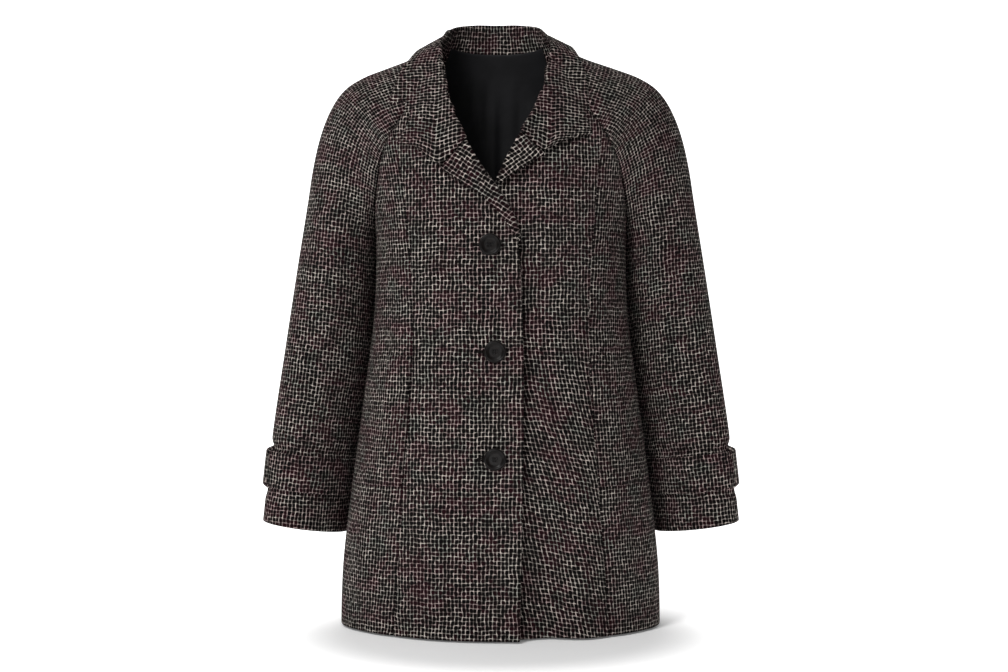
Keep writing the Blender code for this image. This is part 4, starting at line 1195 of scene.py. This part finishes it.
def liningGrid():
    make = liningMake
    neckSide = body["raglan"]["backHeight"][0]
    heights = np.linspace(make["foot"], neckSide + make["rise"], make["rows"] + 1)
    share = np.linspace(-1.0, 1.0, make["columns"] + 1)
    reach = angleAt(seamX("back", 1, heights), heights) - make["inset"]
    reach = np.where(heights <= body["breakLine"] + nearly, make["span"], np.minimum(reach, make["span"]))
    angles = math.pi - reach[:, None] * share
    levels = np.repeat(heights[:, None], len(share), axis=1)
    rising = easeBetween(levels, make["dipFrom"], heights[-1])
    levels = levels + make["dip"] * rising * (1 - share ** 2)
    grid = trunk(angles, levels)
    normals = gridNormals(grid, toBack)
    # pleat: cloth steps forward on one side of the line and eases back on the other
    aside = grid[..., 0] - make["pleatX"]
    step = np.exp(-(aside / np.where(aside < 0, make["pleatSide"], make["pleatEdge"])) ** 2)
    pleat = make["pleatDepth"] * step * easeBetween(grid[..., 2], *make["pleatFrom"])
    lower = make["lowGap"] * easeBetween(grid[..., 2], *make["lowFrom"])
    inner = grid - normals * (body["wall"] + make["gap"] + lower + pleat)[..., None]
    push = sum(pressCrease(grid, creaseLine(*fold[:3], onBack), *fold[3:], make["foldFade"])
               for fold in make["folds"])
    return inner - normals * push[..., None], normals


points, normals = liningGrid()
sewCloth("liningCloth", "lining_back", points, levelWeave(points), normals, liningMake,
         material=lining)
print("lining hung")


# buttons: turned rim and dished face with four holes
buttonMake = {
    "places": (("top", -0.014, -0.278), ("middle", -0.0076, -0.4153), ("bottom", -0.0076, -0.552)),
    "profile": ((0.011, 0.0), (0.0131, 0.0006), (0.014, 0.0017), (0.0142, 0.0028), (0.0137, 0.004),
                (0.0128, 0.0047), (0.0118, 0.0048), (0.0108, 0.0043), (0.0098, 0.0034), (0.0088, 0.0029),
                (0.0074, 0.0028)),
    "holes": 4, "holeReach": 0.0023, "holeRadius": 0.0015, "holeEdge": 0.0005, "holeDepth": 0.0016,
    "faceAbove": 0.002, "turns": 96, "faceRings": 36, "seat": 0.0006, "seatReach": 0.004,
    "surface": (0.3, 0.16), "dark": (0.0026, 0.0021, 0.002, 1), "lit": (0.007, 0.0052, 0.0046, 1),
    "cloudScale": 260.0, "cloud": (0.35, 0.7), "bump": (0.1, 0.0002),
}
# worked buttonholes, seen a little way past the rim of each button
holeMake = {
    "reach": 0.0235, "half": 0.0021, "rise": 0.0013, "slit": 0.0017, "slitHalf": 0.24, "steps": (28, 12),
    "surface": (0.8, 0.05), "dark": (0.0022, 0.0018, 0.0018, 1.0), "lit": (0.012, 0.0095, 0.009, 1.0),
    "stitch": 0.0009, "stitchEdge": (-0.6, 0.8), "bump": (0.5, 0.0003),
}


def makeButtonHorn():
    look = buttonMake
    material, tree, shader = newMaterial("buttonHorn", look["surface"])
    where = addNode(tree, "ShaderNodeTexCoord").outputs["Object"]
    cloud = noiseNode(tree, where, look["cloudScale"], 4.0, "3D").outputs[0]
    colour = mixColour(tree, rangeNode(tree, cloud, *look["cloud"]), look["dark"], look["lit"])
    dressShader(tree, shader, colour, cloud, look["bump"])
    return material


def makeHoleThread():
    look = holeMake
    material, tree, shader = newMaterial("holeThread", look["surface"])
    along = splitNode(tree, addNode(tree, "ShaderNodeTexCoord").outputs["Object"])["X"]
    turns = sumNode(tree, "MULTIPLY", sumNode(tree, "DIVIDE", along, look["stitch"]), math.tau)
    stitch = rangeNode(tree, sumNode(tree, "SINE", turns), *look["stitchEdge"])
    dressShader(tree, shader, mixColour(tree, stitch, look["dark"], look["lit"]), stitch, look["bump"])
    return material


def meshOf(name, points, faces):
    mesh = bpy.data.meshes.new(name)
    mesh.from_pydata(points.tolist(), [], faces)
    return mesh


def buttonMesh(name):
    make = buttonMake
    inner, face = make["profile"][-1]
    rings = list(make["profile"])
    rings += [(inner * (1 - k / make["faceRings"]), face) for k in range(1, make["faceRings"])]
    n = make["turns"]
    turns = np.arange(n) * math.tau / n
    points = [(0.0, 0.0, 0.0)]
    for radius, height in rings:
        points += [(radius * math.cos(t), radius * math.sin(t), height) for t in turns]
    points = np.array(points + [(0.0, 0.0, face)])
    onFace = points[:, 2] > make["faceAbove"]
    for hole in range(make["holes"]):
        turn = (hole + 0.5) * math.tau / make["holes"]
        centre = np.array([math.cos(turn), math.sin(turn)]) * make["holeReach"]
        away = np.linalg.norm(points[:, :2] - centre, axis=1)
        points[:, 2] -= onFace * make["holeDepth"] * ease((make["holeRadius"] - away) / make["holeEdge"])
    starts = 1 + np.arange(len(rings)) * n
    pairs = [(c, (c + 1) % n) for c in range(n)]
    faces = [(low + c, low + d, low + n + d, low + n + c) for low in starts[:-1] for c, d in pairs]
    faces += [(0, 1 + d, 1 + c) for c, d in pairs]
    faces += [(starts[-1] + c, starts[-1] + d, len(points) - 1) for c, d in pairs]
    return meshOf(name, points, faces)


def frontFacing(x, height, reach):
    across = frontAt(np.array([x - reach, x + reach]), np.array([height, height]), np.zeros(2))
    tall = frontAt(np.array([x, x]), np.array([height - reach, height + reach]), np.zeros(2))
    return Vector(np.cross(across[1] - across[0], tall[1] - tall[0])).normalized()


def holeMesh(name, x, height):
    make = holeMake
    along, across = (np.linspace(0.0, 1.0, n + 1) for n in make["steps"])
    across = across * 2 - 1
    left = np.clip(1 - along * make["reach"] / make["half"], 0.0, 1.0)
    half = make["half"] * np.sqrt(np.maximum(1 - left ** 2, 0.01))
    xs = np.repeat((x - make["reach"] * (1 - along))[:, None], len(across), axis=1)
    zs = height + half[:, None] * across
    out = make["rise"] * (1 - across ** 4) - make["slit"] * np.exp(-(across / make["slitHalf"]) ** 2)
    points = frontAt(xs, zs, np.broadcast_to(out, xs.shape))
    return meshOf(name, points.reshape(-1, 3), gridFaces(*xs.shape))


buttonHorn, holeThread = makeButtonHorn(), makeHoleThread()
for place, x, height in buttonMake["places"]:
    name = "buttonholeThread_" + place
    addPiece(name, holeMesh(name, x, height), holeThread)
for place, x, height in buttonMake["places"]:
    name = "buttonHorn_" + place
    spot = Vector(frontAt(np.array(x), np.array(height), np.array(buttonMake["seat"])))
    turn = frontFacing(x, height, buttonMake["seatReach"]).to_track_quat("Z", "Y").to_matrix().to_4x4()
    piece = addPiece(name, buttonMesh(name), buttonHorn, Matrix.Translation(spot) @ turn)
    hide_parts("button_" + place)
print("buttons sewn on")


# pale paper sweep that glows as painted light, then lamps and view
studioLook = {
    "floorHeight": -0.7835, "halfWidth": 7.0, "front": -6.0, "bend": 3.0, "bendFrom": 1.8, "wall": 5.0,
    "bendSteps": 16, "surface": (0.95, 0.0), "paper": ((0.9, 0.9, 0.9, 1), (0.93, 0.93, 0.93, 1)),
    "grainScale": 30.0, "footGlow": (0.19, 0.33, 0.1, 0.7), "footAt": -0.09,
    "nearGlow": (-0.75, -0.35, 0.0, 1.0), "farGlow": (0.0, 0.5, 0.0, 0.3), "white": (1.0, 1.0, 1.0, 1.0),
    "world": 0.17,
    "lights": (
        ("keyLight", (-1.0, -1.9, 1.3), (0.0, 0.0, -0.46), 0.75, 45.0),
        ("fillLight", (-0.45, -2.7, -0.55), (0.0, 0.0, -0.62), 1.2, 12.0),
        ("topLight", (0.0, -0.95, 1.7), (0.0, 0.0, -0.2), 0.8, 2.5),
    ),
}


def addSweep():
    look = studioLook
    turns = np.linspace(0.0, math.pi / 2, look["bendSteps"])
    radius = look["bend"]
    profile = [(look["front"], 0.0)]
    profile += [(look["bendFrom"] + radius * math.sin(t), radius * (1 - math.cos(t))) for t in turns]
    profile.append((look["bendFrom"] + radius, radius + look["wall"]))
    edges = (-look["halfWidth"], look["halfWidth"])
    points = [(x, y, look["floorHeight"] + z) for y, z in profile for x in edges]
    mesh = bpy.data.meshes.new("paperSweep")
    mesh.from_pydata(points, [], [(2 * k, 2 * k + 1, 2 * k + 3, 2 * k + 2) for k in range(len(profile) - 1)])
    mesh.polygons.foreach_set("use_smooth", np.ones(len(mesh.polygons), bool))
    sweep = bpy.data.objects.new("paperSweep", mesh)
    studio.objects.link(sweep)
    paper, tree, shader = newMaterial("glowingPaper", look["surface"])
    where = addNode(tree, "ShaderNodeTexCoord").outputs["Object"]
    grain = noiseNode(tree, where, look["grainScale"], 3.0, "3D").outputs[0]
    tree.links.new(mixColour(tree, grain, *look["paper"]), shader.inputs["Base Color"])
    shader.inputs["Emission Color"].default_value = look["white"]
    # painted light: the paper glows, strongly behind the coat so that cast shadows there wash out, and less
    # at its foot, a painted shade where the soft shadow lies
    split = splitNode(tree, where)
    depth = split["Y"]
    flatPlace = joinNode(tree, split["X"], sumNode(tree, "SUBTRACT", depth, look["footAt"]))
    away = addNode(tree, "ShaderNodeVectorMath", {"operation": "LENGTH"}, {0: flatPlace}).outputs["Value"]
    near, far = (rangeNode(tree, depth, *look[name]) for name in ("nearGlow", "farGlow"))
    foot = sumNode(tree, "MULTIPLY", rangeNode(tree, away, *look["footGlow"]), near)
    glow = sumNode(tree, "ADD", foot, far)
    tree.links.new(glow, shader.inputs["Emission Strength"])
    mesh.materials.append(paper)
    sweep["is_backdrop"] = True


addSweep()
for name, place, target, size, power in studioLook["lights"]:
    light = bpy.data.lights.new(name, "AREA")
    light.shape, light.size, light.energy = "DISK", size, power
    lamp = bpy.data.objects.new(name, light)
    lamp.location = place
    lamp.rotation_euler = (Vector(target) - Vector(place)).to_track_quat("-Z", "Y").to_euler()
    studio.objects.link(lamp)
world = bpy.data.worlds.new("whiteRoom")
world.use_nodes = True
backdrop = world.node_tree.nodes["Background"].inputs
backdrop["Color"].default_value, backdrop["Strength"].default_value = studioLook["white"], studioLook["world"]
scene.world = world
scene.view_settings.view_transform = "Standard"
print("studio lit")

low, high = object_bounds()
print("coat size", [round(b - a, 4) for a, b in zip(low, high)])
